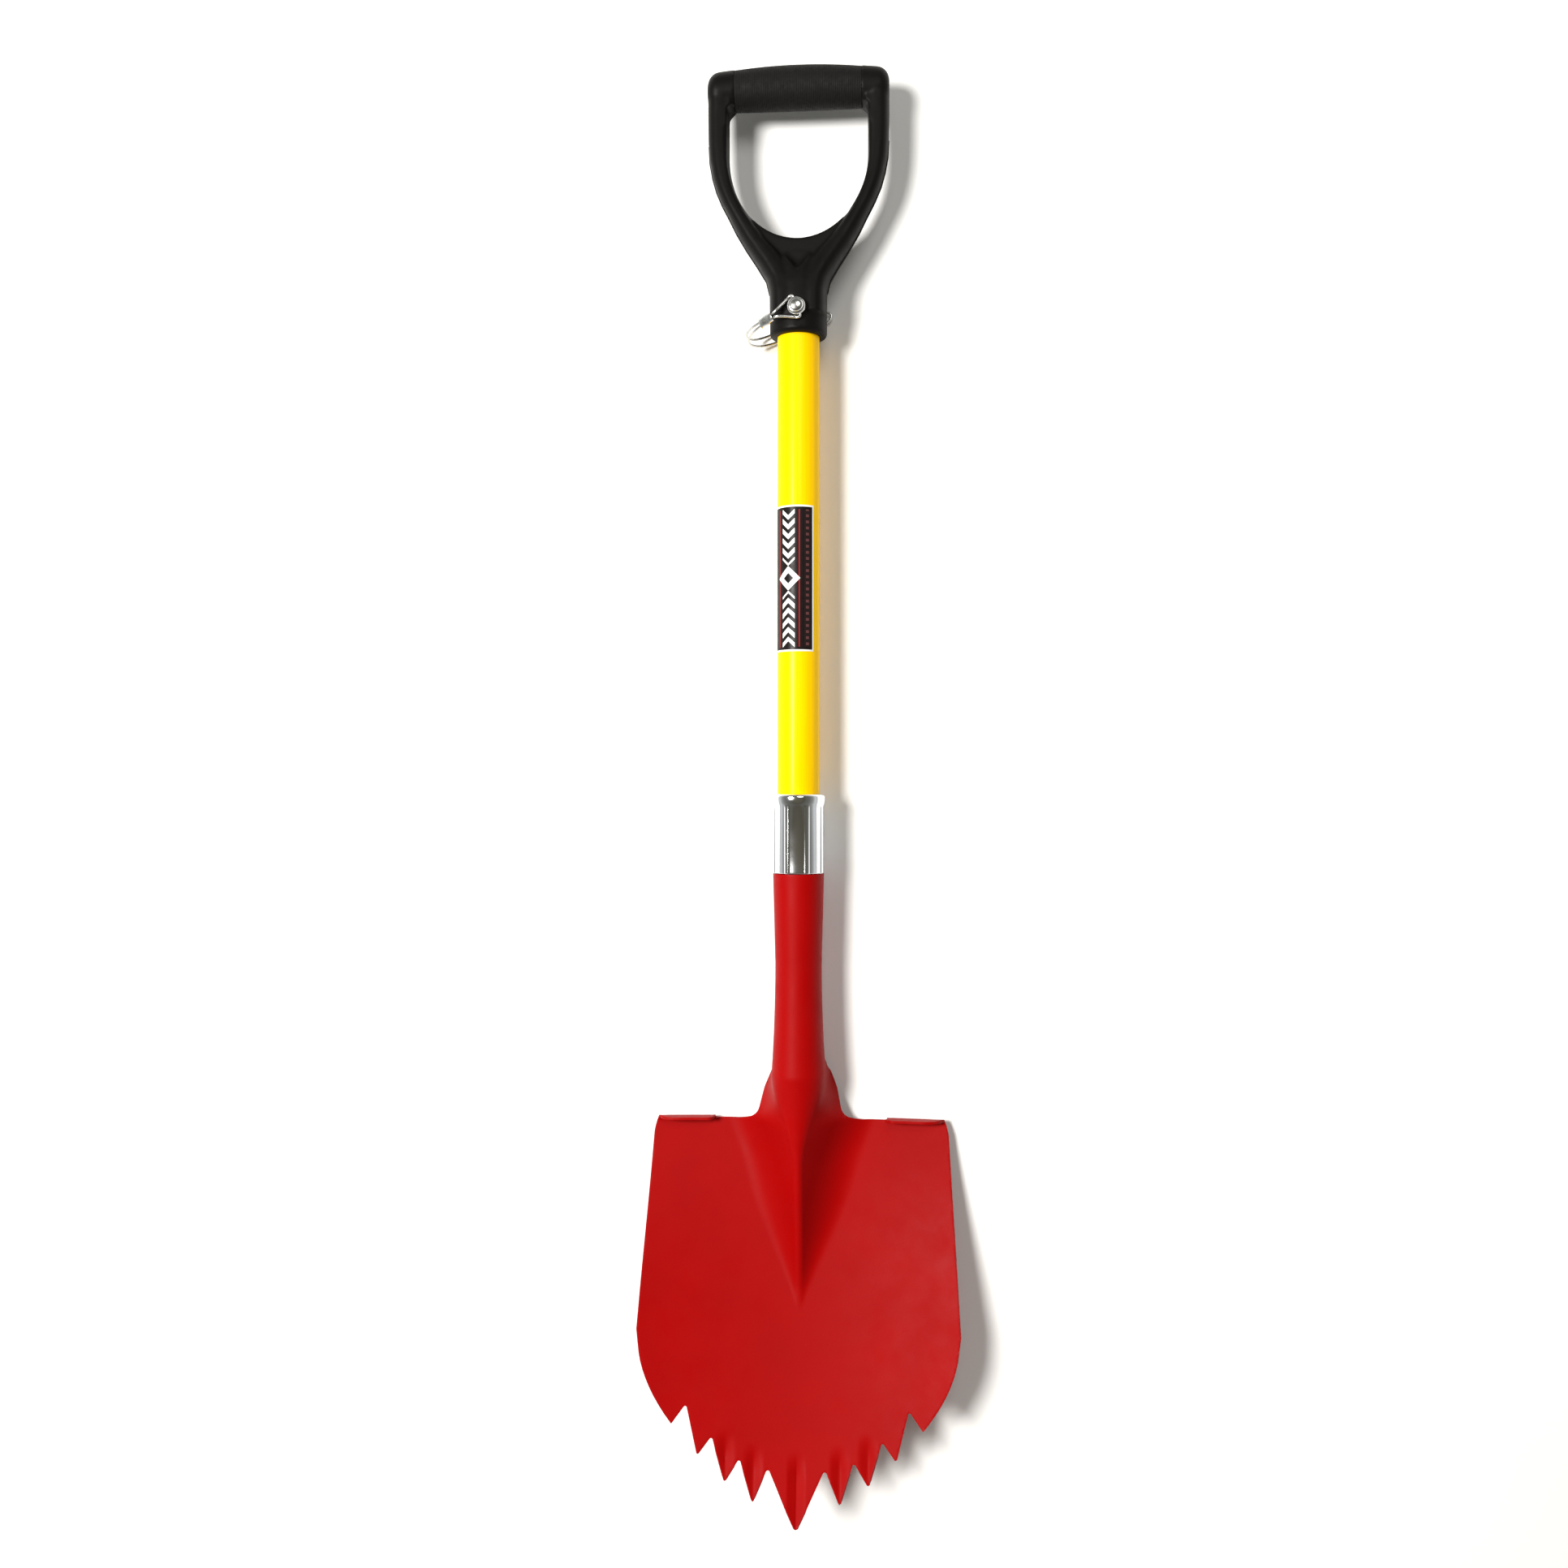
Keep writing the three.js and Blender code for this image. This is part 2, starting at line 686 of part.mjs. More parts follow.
function handleFrameSolid() {
  const corner = cornerSolid();
  const barrel = turned([
    [0, barrelBottom],
    [barrelRadius - barrelChamfer, barrelBottom],
    [barrelRadius, barrelBottom + barrelChamfer],
    ...barrelCrown.map(([inset, rise]) => [barrelRadius - inset, barrelShoulder + rise]),
    [0, barrelShoulder + barrelCrownTop],
  ]);
  const bushRadius = pinRadius + pinBushWall + 2 * clearance;
  const bushHole = rodAlongZ(bushRadius, pinY, -2 * barrelRadius, 2 * barrelRadius);
  const shaftBoreSolid = rod(shaftRadius + clearance, barrelBottom - 1, shaftTop + clearance);
  const seat = sleeveLength / 2 + gripBarSeat;
  const barSeat = turnedAlongX([
    [0, -seat], [gripBarRadius + clearance, -seat], [gripBarRadius + clearance, seat], [0, seat],
  ], 24);
  return gripPlateSolid()
    .add(corner)
    .add(mirrored(corner))
    .subtract(gripRoomSolid())
    .add(barrel)
    .subtract(shaftBoreSolid)
    .subtract(bushHole)
    .subtract(barSeat);
}

// The room that the ribbed sleeve takes between the arms.
function gripRoomSolid() {
  const half = sleeveLength / 2 + clearance;
  const room = sleeveRadius + clearance;
  return turnedAlongX([[0, -half], [room, -half], [room, half], [0, half]]);
}

function gripCoreSolid() {
  const half = sleeveLength / 2 + gripBarSeat - clearance;
  return turnedAlongX([[0, -half], [gripBarRadius, -half], [gripBarRadius, half], [0, half]], 24);
}

function gripSleeveSolid() {
  const half = sleeveLength / 2;
  const bore = gripBarRadius + clearance;
  const steps = 8;
  const profile = [[bore, -half]];
  for (let i = 0; i <= steps; i++) {
    const share = 2 * i / steps - 1;
    profile.push([mix(sleeveRadius, sleeveEndRadius, share * share), share * half]);
  }
  profile.push([bore, half], [bore, -half]);
  return turnedAlongX(profile);
}

function pinBushSolid(side) {
  const inner = pinRadius + clearance;
  const low = shaftRadius + 2 * clearance;
  const high = barrelRadius - clearance;
  const geometry = new THREE.LatheGeometry([
    new THREE.Vector2(inner, low), new THREE.Vector2(inner + pinBushWall, low),
    new THREE.Vector2(inner + pinBushWall, high), new THREE.Vector2(inner, high),
    new THREE.Vector2(inner, low),
  ], 24);
  geometry.rotateX(side * Math.PI / 2);
  geometry.translate(0, pinY, 0);
  return toSolid(geometry);
}

// ---- lock pin and its bail, about the pin's own axis ----
function lockPinSolid() {
  const headTop = pinHeadFoot + pinHeadHeight;
  const neck = -(barrelRadius + pinNeckReach);
  const profile = [
    [0, pinNoseTip], [pinNoseRadius - 0.8, pinNoseTip], [pinNoseRadius, pinNoseTip + 0.8],
    [pinNoseRadius, neck - 1.4], [pinRadius, neck], [pinRadius, pinHeadFoot],
    [pinHeadRadius - 0.5, pinHeadFoot], [pinHeadRadius, pinHeadFoot + 0.6],
    [pinHeadRadius, headTop - 1.2], [pinHeadRadius - 1, headTop], [pinDomeRadius, headTop],
    [pinDomeRadius * 0.8, headTop + pinDomeHeight * 0.6],
    [pinDomeRadius * 0.4, headTop + pinDomeHeight * 0.93], [0, headTop + pinDomeHeight],
  ].map(([radius, z]) => new THREE.Vector2(radius, z));
  const geometry = new THREE.LatheGeometry(profile, 24);
  geometry.rotateX(Math.PI / 2);
  const crossHole = new THREE.CylinderGeometry(
    wireRadius + clearance,
    wireRadius + clearance,
    4 * pinHeadRadius,
    12,
  );
  crossHole.translate(0, 0, pivotZ);
  return toSolid(geometry).subtract(toSolid(crossHole));
}

// Half of the wire, from its end in the head to the middle of the closed end.
// x points out from the barrel, y along the pivot and z along the pin.
function bailHalfRoute() {
  const headSide = pinHeadRadius + 1.2;
  const far = -(barrelRadius + bailOverhang);
  const crimpZ = pivotZ - crimpDrop;
  const crimpEnd = crimpStart + crimpLength * Math.cos(radians(crimpSlope));
  const crimpEndZ = crimpZ - crimpLength * Math.sin(radians(crimpSlope));
  return [
    [0, 3.4, pivotZ],
    [0, headSide - 0.4, pivotZ],
    [1.4, headSide + 0.3, pivotZ - 0.1],
    [3.4, headSide - 0.5, pivotZ - 0.5],
    [crimpStart - 1.7, strandGap + 0.3, crimpZ + 1.1],
    [crimpStart, strandGap, crimpZ],
    [crimpEnd, strandGap, crimpEndZ],
    [bailReach - 3.8, strandGap + 0.5, crimpEndZ - 7.6],
    [bailReach, strandGap + 0.9, pivotZ - 27],
    [bailReach - 3.4, strandGap + 1.2, strandZ + 9],
    [bailReach - 11, strandGap + 1.7, strandZ + 2],
    [18, strandSpread - 0.3, strandZ],
    [9, strandSpread, strandZ],
    [0, strandSpread, strandZ],
    [-10, strandSpread, strandZ],
    [far + 4, strandSpread - 0.4, strandZ],
    [far + 1, strandSpread - 1.8, strandZ],
    [far, 0, strandZ],
  ];
}

function bailWireSolid() {
  const half = bailHalfRoute().map(([x, y, z]) => new THREE.Vector3(x, y, z));
  const other = half.slice(0, -1).reverse().map((point) => new THREE.Vector3(point.x, -point.y, point.z));
  const route = new THREE.CatmullRomCurve3([...half, ...other], false, 'centripetal');
  const ring = new THREE.Shape();
  ring.absarc(0, 0, wireRadius, 0, 2 * Math.PI, false);
  return toSolid(new THREE.ExtrudeGeometry(ring, {
    steps: wireSteps,
    curveSegments: wireSides / 2,
    extrudePath: route,
    bevelEnabled: false,
  }));
}

function bailCrimpSolid() {
  const wide = strandGap + wireRadius + clearance;
  const high = wireRadius + clearance;
  const shape = new THREE.Shape();
  shape.absellipse(0, 0, wide + crimpWall, high + crimpWall, 0, 2 * Math.PI, false, 0);
  const bore = new THREE.Path();
  const flat = wide - high;
  bore.absarc(flat, 0, high, -Math.PI / 2, Math.PI / 2, false);
  bore.absarc(-flat, 0, high, Math.PI / 2, 1.5 * Math.PI, false);
  shape.holes.push(bore);
  const geometry = new THREE.ExtrudeGeometry(shape, {
    depth: crimpLength - 2,
    bevelEnabled: false,
    curveSegments: 12,
  });
  geometry.translate(0, 0, 1);
  geometry.rotateZ(Math.PI / 2);
  geometry.rotateY(Math.PI / 2 + radians(crimpSlope));
  geometry.translate(crimpStart, 0, pivotZ - crimpDrop);
  return toSolid(geometry);
}

// ---- assembly ----
const shovel = new THREE.Group();
shovel.add(named('blade', bladeSolid(), redCoat));
for (const [place, y] of Object.entries(rivetStations)) {
  shovel.add(named(`socket_rivet_${place}`, rivetSolid(y), steel));
}
shovel.add(named('ferrule', ferruleSolid(), chrome));
shovel.add(named('shaft_tube', shaftSolid(), yellowGlassFibre));
shovel.add(named('lower_core', lowerCoreSolid(), wood));
shovel.add(named('upper_core', upperCoreSolid(), wood));
shovel.add(named('label_film', labelSolid(), printedFilm));
shovel.add(named('handle_frame', handleFrameSolid(), blackPlastic));
shovel.add(named('grip_core', gripCoreSolid(), steel));
shovel.add(named('grip_sleeve', gripSleeveSolid(), blackRubber));
shovel.add(named('pin_bush_front', pinBushSolid(1), zinc));
shovel.add(named('pin_bush_rear', pinBushSolid(-1), zinc));

// The pin's cross hole and the bail share the tilt at which the bail wraps the barrel.
const lock = new THREE.Group();
lock.position.y = pinY;
lock.rotation.z = Math.PI + radians(bailTilt);
lock.add(named('lock_pin', lockPinSolid(), zinc));
lock.add(named('bail_wire', bailWireSolid(), zinc));
lock.add(named('bail_crimp', bailCrimpSolid(), zinc));
shovel.add(lock);

// The part stands on the middle of its own length, with its lowest point at z = 0.
const part = new THREE.Group();
part.add(shovel);
part.updateMatrixWorld(true);
const extent = new THREE.Box3().setFromObject(shovel, true);
shovel.position.set(0, -overallLength / 2, -extent.min.z);

export default part;
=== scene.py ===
import math

import bmesh
import bpy
import numpy as np
from mathutils import Matrix, Vector, geometry


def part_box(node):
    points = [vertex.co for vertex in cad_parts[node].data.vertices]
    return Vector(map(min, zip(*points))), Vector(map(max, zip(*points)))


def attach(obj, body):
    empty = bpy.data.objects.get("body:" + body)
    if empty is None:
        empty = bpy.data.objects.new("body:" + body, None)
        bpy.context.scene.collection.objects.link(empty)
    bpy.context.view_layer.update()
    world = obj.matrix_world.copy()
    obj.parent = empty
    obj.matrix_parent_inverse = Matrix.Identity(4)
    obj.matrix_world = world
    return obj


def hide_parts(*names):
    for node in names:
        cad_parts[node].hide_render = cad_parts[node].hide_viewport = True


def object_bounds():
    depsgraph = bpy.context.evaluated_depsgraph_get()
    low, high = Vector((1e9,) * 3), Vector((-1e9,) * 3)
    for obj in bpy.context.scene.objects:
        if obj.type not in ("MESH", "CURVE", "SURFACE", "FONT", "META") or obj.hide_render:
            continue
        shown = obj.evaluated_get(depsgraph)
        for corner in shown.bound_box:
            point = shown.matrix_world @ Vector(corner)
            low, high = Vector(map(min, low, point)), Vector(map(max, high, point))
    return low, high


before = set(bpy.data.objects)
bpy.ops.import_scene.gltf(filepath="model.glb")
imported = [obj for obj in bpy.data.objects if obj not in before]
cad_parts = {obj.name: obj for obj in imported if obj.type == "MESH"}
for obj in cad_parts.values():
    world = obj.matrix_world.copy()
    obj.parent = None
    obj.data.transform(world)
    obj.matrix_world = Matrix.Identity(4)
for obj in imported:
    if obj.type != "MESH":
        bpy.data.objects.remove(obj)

bl_info = {
    "name": "Toothed digging shovel",
    "version": (1, 0, 0),
    "blender": (4, 5, 0),
    "location": "View3D > Sidebar > Shovel",
    "description": "Builds a digging shovel with a toothed blade and a detachable D-grip",
    "category": "Object",
}

CAD_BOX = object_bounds()
TIP_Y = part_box("blade")[0].y
SOCKET_TOP_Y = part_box("blade")[1].y
BLADE_LOW, BLADE_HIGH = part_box("blade")
SHAFT_LOW, SHAFT_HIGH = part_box("shaft_tube")
FERRULE_LOW, FERRULE_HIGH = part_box("ferrule")
HANDLE_LOW, HANDLE_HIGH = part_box("handle_frame")
SLEEVE_LOW, SLEEVE_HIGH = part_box("grip_sleeve")
LABEL_LOW, LABEL_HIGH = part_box("label_film")
PIN_LOW, PIN_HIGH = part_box("lock_pin")
AXIS_Z = (SHAFT_LOW.z + SHAFT_HIGH.z) / 2
PIN_Y = (PIN_LOW.y + PIN_HIGH.y) / 2
BAR_Y = (SLEEVE_LOW.y + SLEEVE_HIGH.y) / 2
FLOOR_Z = CAD_BOX[0].z
MM = 0.001
ARC_STEPS = 7
RIM_STEPS = 4
WIRE_SIDES = 5
WELD = 1e-6
BORE_PLAY = 0.0003
CROSS_HOLE = 0.00275
SEAT_RADIUS = 0.0073


# ---------------------------------------------------------------- small helpers

def smoothstep(value, low, high):
    share = np.clip((value - low) / (high - low), 0.0, 1.0)
    return share * share * (3 - 2 * share)


def mix(low, high, share):
    return low + (high - low) * share


def row_point(x, y, z):
    """Millimetres from the tip and the shaft's axis, as a point of the row in metres."""
    return Vector((x * MM, TIP_Y + y * MM, AXIS_Z + z * MM))


def activate(obj):
    if bpy.context.object and bpy.context.object.mode != "OBJECT":
        bpy.ops.object.mode_set(mode="OBJECT")
    bpy.ops.object.select_all(action="DESELECT")
    obj.select_set(True)
    bpy.context.view_layer.objects.active = obj


def new_object(name, points, edges=(), faces=()):
    mesh = bpy.data.meshes.new(name)
    mesh.from_pydata([tuple(point) for point in points], list(edges), list(faces))
    mesh.update()
    obj = bpy.data.objects.new(name, mesh)
    bpy.context.scene.collection.objects.link(obj)
    activate(obj)
    return obj


def joined(pieces):
    activate(pieces[0])
    for piece in pieces[1:]:
        piece.select_set(True)
    bpy.ops.object.join()
    return bpy.context.object


def with_modifier(obj, kind, **settings):
    activate(obj)
    modifier = obj.modifiers.new(kind.title(), kind)
    for key, value in settings.items():
        setattr(modifier, key, value)
    bpy.ops.object.modifier_apply(modifier=modifier.name)
    return obj


def bevelled(obj, width, degrees):
    """Rounds every edge that is sharper than the angle."""
    return with_modifier(
        obj, "BEVEL", width=width, segments=2, limit_method="ANGLE", angle_limit=math.radians(degrees)
    )


def clean(obj):
    activate(obj)
    bpy.ops.object.mode_set(mode="EDIT")
    bpy.ops.mesh.select_all(action="SELECT")
    bpy.ops.mesh.remove_doubles(threshold=WELD)
    bpy.ops.mesh.normals_make_consistent(inside=False)
    bpy.ops.object.mode_set(mode="OBJECT")
    return obj


def cut(obj, cutter):
    with_modifier(obj, "BOOLEAN", operation="DIFFERENCE", solver="MANIFOLD", object=cutter)
    bpy.data.objects.remove(cutter)
    return obj


def ordered(obj):
    """Numbers the points and faces in one fixed order, which a spin leaves to chance."""
    mesh = obj.data
    places = [tuple(vertex.co) for vertex in mesh.vertices]
    rank = sorted(range(len(places)), key=places.__getitem__)
    number = {old: new for new, old in enumerate(rank)}
    faces = []
    for face in mesh.polygons:
        corners = [number[i] for i in face.vertices]
        if len(corners) == 4 and corners[2] < corners[0]:
            corners = corners[2:] + corners[:2]     # half a turn keeps the diagonal it splits on
        faces.append(tuple(corners))
    name = obj.name
    bpy.data.objects.remove(obj)
    return new_object(name, [places[old] for old in rank], faces=sorted(faces))


def spun(name, profile, centre, axis, steps=96):
    """Spins a profile of (radius, along) points, in metres, once about an axis."""
    along = Vector(axis).normalized()
    side = along.orthogonal().normalized()
    centre = Vector(centre)
    points = [centre + side * radius + along * run for radius, run in profile]
    edges = [(i, i + 1) for i in range(len(points) - 1)]
    obj = new_object(name, points, edges)
    bpy.ops.object.mode_set(mode="EDIT")
    bpy.ops.mesh.select_all(action="SELECT")
    bpy.ops.mesh.spin(steps=steps, dupli=False, angle=2 * math.pi, center=centre, axis=along)
    bpy.ops.object.mode_set(mode="OBJECT")
    return ordered(clean(obj))


def rod(radius, low, high):
    """The profile of a plain round rod, as a cutter."""
    return [(0, low), (radius, low), (radius, high), (0, high)]


def rounded_rim(radius, end, size):
    """Profile points that round an outer edge which ends at the place given."""
    points = []
    for i in range(RIM_STEPS + 1):
        angle = i / RIM_STEPS * math.pi / 2
        points.append((radius - size + size * math.cos(angle), end - size * (1 - math.sin(angle))))
    return points


def skinned(name, rings, closed=False):
    """Quads between rings of equal length, with a flat face at each open end."""
    count = len(rings[0])
    points = [point for ring in rings for point in ring]
    total = len(rings)
    faces = []
    for r in range(total if closed else total - 1):
        low, high = r * count, (r + 1) % total * count
        for i in range(count):
            j = (i + 1) % count
            faces.append((low + i, low + j, high + j, high + i))
    if not closed:
        faces.append(tuple(reversed(range(count))))
        faces.append(tuple(range((total - 1) * count, total * count)))
    return clean(new_object(name, points, faces=faces))


def wire(name, route, radius):
    """A round wire along a smooth curve through the route's points."""
    curve = bpy.data.curves.new(name, "CURVE")
    curve.dimensions = "3D"
    curve.bevel_depth = radius
    curve.bevel_resolution = WIRE_SIDES
    curve.resolution_u = 6
    curve.use_fill_caps = True
    spline = curve.splines.new("BEZIER")
    spline.bezier_points.add(len(route) - 1)
    for knot, place in zip(spline.bezier_points, route):
        knot.co = place
        knot.handle_left_type = knot.handle_right_type = "AUTO"
    obj = bpy.data.objects.new(name, curve)
    bpy.context.scene.collection.objects.link(obj)
    activate(obj)
    bpy.ops.object.convert(target="MESH")
    return clean(bpy.context.object)


def finish_piece(obj, name, body, material, replaces=(), angle=32):
    activate(obj)
    obj.name = obj.data.name = name
    bpy.ops.object.transform_apply(location=True, rotation=True, scale=True)
    bpy.ops.object.shade_smooth_by_angle(angle=math.radians(angle))
    obj.data.materials.clear()
    obj.data.materials.append(material)
    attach(obj, body)
    if replaces:
        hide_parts(*replaces)
    return obj


# ---------------------------------------------------------------- materials

class Nodes:
    """A short way to lay out a material's nodes."""

    def __init__(self, name):
        self.material = bpy.data.materials.new(name)
        self.material.use_nodes = True
        self.tree = self.material.node_tree
        self.tree.nodes.clear()
        self.shader = self.add("ShaderNodeBsdfPrincipled")
        output = self.add("ShaderNodeOutputMaterial")
        self.link(self.shader.outputs[0], output.inputs[0])
        self.place = self.add("ShaderNodeTexCoord").outputs["Object"]

    def add(self, kind, **settings):
        node = self.tree.nodes.new(kind)
        for key, value in settings.items():
            setattr(node, key, value)
        return node

    def link(self, output, socket):
        self.tree.links.new(output, socket)

    def feed(self, socket, value):
        if isinstance(value, bpy.types.NodeSocket):
            self.link(value, socket)
        else:
            socket.default_value = value

    def maths(self, operation, *values):
        node = self.add("ShaderNodeMath", operation=operation)
        for socket, value in zip(node.inputs, values):
            self.feed(socket, value)
        return node.outputs[0]

    def stretched(self, scale):
        node = self.add("ShaderNodeMapping")
        self.link(self.place, node.inputs["Vector"])
        node.inputs["Scale"].default_value = scale
        return node.outputs[0]

    def noise(self, scale, detail=3.0, roughness=0.55, vector=None):
        node = self.add("ShaderNodeTexNoise")
        self.link(vector or self.place, node.inputs["Vector"])
        node.inputs["Scale"].default_value = scale
        node.inputs["Detail"].default_value = detail
        node.inputs["Roughness"].default_value = roughness
        return node.outputs["Fac"]

    def remap(self, value, low, high, to_low, to_high):
        node = self.add("ShaderNodeMapRange")
        for socket, item in zip(node.inputs, (value, low, high, to_low, to_high)):
            self.feed(socket, item)
        return node.outputs[0]

    def mottle(self, scale, detail, low, high):
        """Soft patches that run from low to high."""
        return self.remap(self.noise(scale, detail), 0.3, 0.7, low, high)

    def blend(self, share, first, second):
        node = self.add("ShaderNodeMix", data_type="RGBA")
        self.feed(node.inputs["Factor"], share)
        self.feed(node.inputs["A"], first)
        self.feed(node.inputs["B"], second)
        return node.outputs["Result"]

    def bump(self, height, distance, strength=1.0, below=None):
        node = self.add("ShaderNodeBump")
        node.inputs["Distance"].default_value = distance
        node.inputs["Strength"].default_value = strength
        self.link(height, node.inputs["Height"])
        if below:
            self.link(below, node.inputs["Normal"])
        return node.outputs[0]

    def edges(self, low, high):
        """1 on sharp outward edges and 0 elsewhere."""
        pointiness = self.add("ShaderNodeNewGeometry").outputs["Pointiness"]
        return self.remap(pointiness, low, high, 0.0, 1.0)

    def set(self, **values):
        for key, value in values.items():
            self.feed(self.shader.inputs[key.replace("_", " ")], value)
        return self.material


def rgba(colour, lift=1.0):
    return tuple(min(1.0, channel * lift) for channel in colour[:3]) + (1.0,)


def red_coat(colour):
    """Satin powder coat: a fine orange-peel grain, slow drifts of gloss and paler worn edges."""
    n = Nodes("red_powder_coat")
    n.set(Metallic=0.0, IOR=1.5)
    n.set(Specular_IOR_Level=0.06)
    drift = n.mottle(14.0, 4.0, 0.0, 1.0)
    speck = n.remap(n.noise(2600.0, 2.0), 0.35, 0.65, 0.0, 1.0)
    body = n.blend(drift, rgba(colour, 0.93), rgba(colour, 1.05))
    grained = n.blend(n.maths("MULTIPLY", speck, 0.14), body, rgba(colour, 1.4))
    worn = n.maths("MULTIPLY", n.edges(0.53, 0.62), n.remap(n.noise(160.0, 5.0), 0.42, 0.62, 0.0, 0.5))
    n.set(Base_Color=n.blend(worn, grained, (0.4, 0.06, 0.05, 1.0)))
    n.set(Roughness=n.mottle(60.0, 5.0, 0.42, 0.54))
    peel = n.bump(n.noise(900.0, 2.0), 0.00012, 0.35)
    n.set(Normal=n.bump(n.noise(3200.0, 1.0), 0.00006, 0.3, peel))
    return n.material


def yellow_resin(colour):
    """Gloss resin over glass fibre: faint lengthwise strands under a clear skin."""
    n = Nodes("yellow_glass_fibre")
    strands = n.noise(900.0, 4.0, 0.6, n.stretched((1.0, 0.012, 1.0)))
    tone = n.remap(strands, 0.35, 0.65, 0.0, 1.0)
    n.set(Base_Color=n.blend(tone, rgba(colour, 0.94), rgba(colour, 1.03)))
    n.set(Roughness=n.mottle(45.0, 5.0, 0.26, 0.38))
    n.set(Coat_Weight=0.04, Coat_Roughness=0.14, Specular_IOR_Level=0.04)
    n.set(Normal=n.bump(strands, 0.00008, 0.25))
    return n.material


def moulded_plastic(colour):
    """Satin black moulding with a fine spark-eroded texture and a painted highlight: a paler colour on its
    sharp edges.
    """
    n = Nodes("black_moulded_plastic")
    spark = n.noise(1500.0, 3.0, 0.6)
    cloud = n.mottle(22.0, 4.0, 0.0, 1.0)
    body = n.blend(cloud, rgba(colour, 0.85), rgba(colour, 1.2))
    # painted highlight: the base colour is lifted on sharp edges, where a sheen would catch the light
    painted_edge_highlight = n.maths("MULTIPLY", n.edges(0.52, 0.6), 0.35)
    n.set(Base_Color=n.blend(painted_edge_highlight, body, rgba(colour, 2.6)))
    n.set(Roughness=n.mottle(90.0, 5.0, 0.38, 0.5))
    n.set(Specular_IOR_Level=0.06)
    n.set(Normal=n.bump(spark, 0.00012, 0.35))
    return n.material


def ribbed_rubber(colour):
    """Dull soft grip with dusty high spots on its ribs."""
    n = Nodes("black_ribbed_rubber")
    dust = n.remap(n.noise(240.0, 6.0), 0.45, 0.75, 0.0, 0.5)
    n.set(Base_Color=n.blend(dust, rgba(colour), rgba(colour, 2.0)))
    n.set(Roughness=n.mottle(300.0, 3.0, 0.62, 0.8))
    n.set(Specular_IOR_Level=0.16)
    fibres = n.noise(1300.0, 2.0, 0.5, n.stretched((1.0, 0.2, 0.2)))
    n.set(Normal=n.bump(fibres, 0.0003, 0.5))
    return n.material


def bright_chrome(colour):
    """Polished chrome plate with a few soft clouds and hairline scratches."""
    n = Nodes("bright_chrome")
    scratch = n.noise(260.0, 3.0, 0.7, n.stretched((1.0, 0.06, 1.0)))
    fog = n.noise(35.0, 5.0)
    cloud = n.remap(fog, 0.4, 0.7, 0.0, 1.0)
    n.set(Metallic=1.0, Base_Color=n.blend(cloud, rgba(colour), rgba(colour, 0.93)))
    n.set(Roughness=n.remap(fog, 0.35, 0.7, 0.07, 0.17))
    n.set(Normal=n.bump(scratch, 0.00002, 0.12))
    return n.material


def zinc_plate(colour):
    """Bright zinc over drawn wire and turned steel: slightly uneven and softly rough."""
    n = Nodes("bright_zinc")
    cloud = n.noise(700.0, 5.0)
    dull = n.remap(cloud, 0.35, 0.7, 0.0, 1.0)
    n.set(Metallic=1.0, Base_Color=n.blend(dull, rgba(colour), rgba(colour, 0.8)))
    n.set(Roughness=n.remap(cloud, 0.3, 0.7, 0.14, 0.3))
    n.set(Normal=n.bump(n.noise(2200.0, 3.0), 0.00004, 0.3))
    return n.material


def turned_steel():
    n = Nodes("turned_steel")
    rings = n.noise(1800.0, 2.0, 0.5, n.stretched((0.1, 1.0, 1.0)))
    n.set(Metallic=1.0, Base_Color=n.blend(rings, (0.42, 0.42, 0.42, 1.0), (0.6, 0.6, 0.59, 1.0)))
    n.set(Roughness=n.remap(rings, 0.3, 0.7, 0.3, 0.48))
    n.set(Normal=n.bump(rings, 0.00004, 0.4))
    return n.material


def dowel_wood():
    n = Nodes("ash_dowel")
    grain = n.noise(420.0, 6.0, 0.65, n.stretched((1.0, 0.03, 1.0)))
    n.set(Base_Color=n.blend(grain, (0.62, 0.42, 0.22, 1.0), (0.36, 0.2, 0.08, 1.0)), Roughness=0.75)
    n.set(Normal=n.bump(grain, 0.0002, 0.5))
    return n.material


def band(n, value, centre, half):
    """1 where the value lies within half of the centre."""
    distance = n.maths("ABSOLUTE", n.maths("SUBTRACT", value, centre))
    return n.maths("LESS_THAN", distance, half)


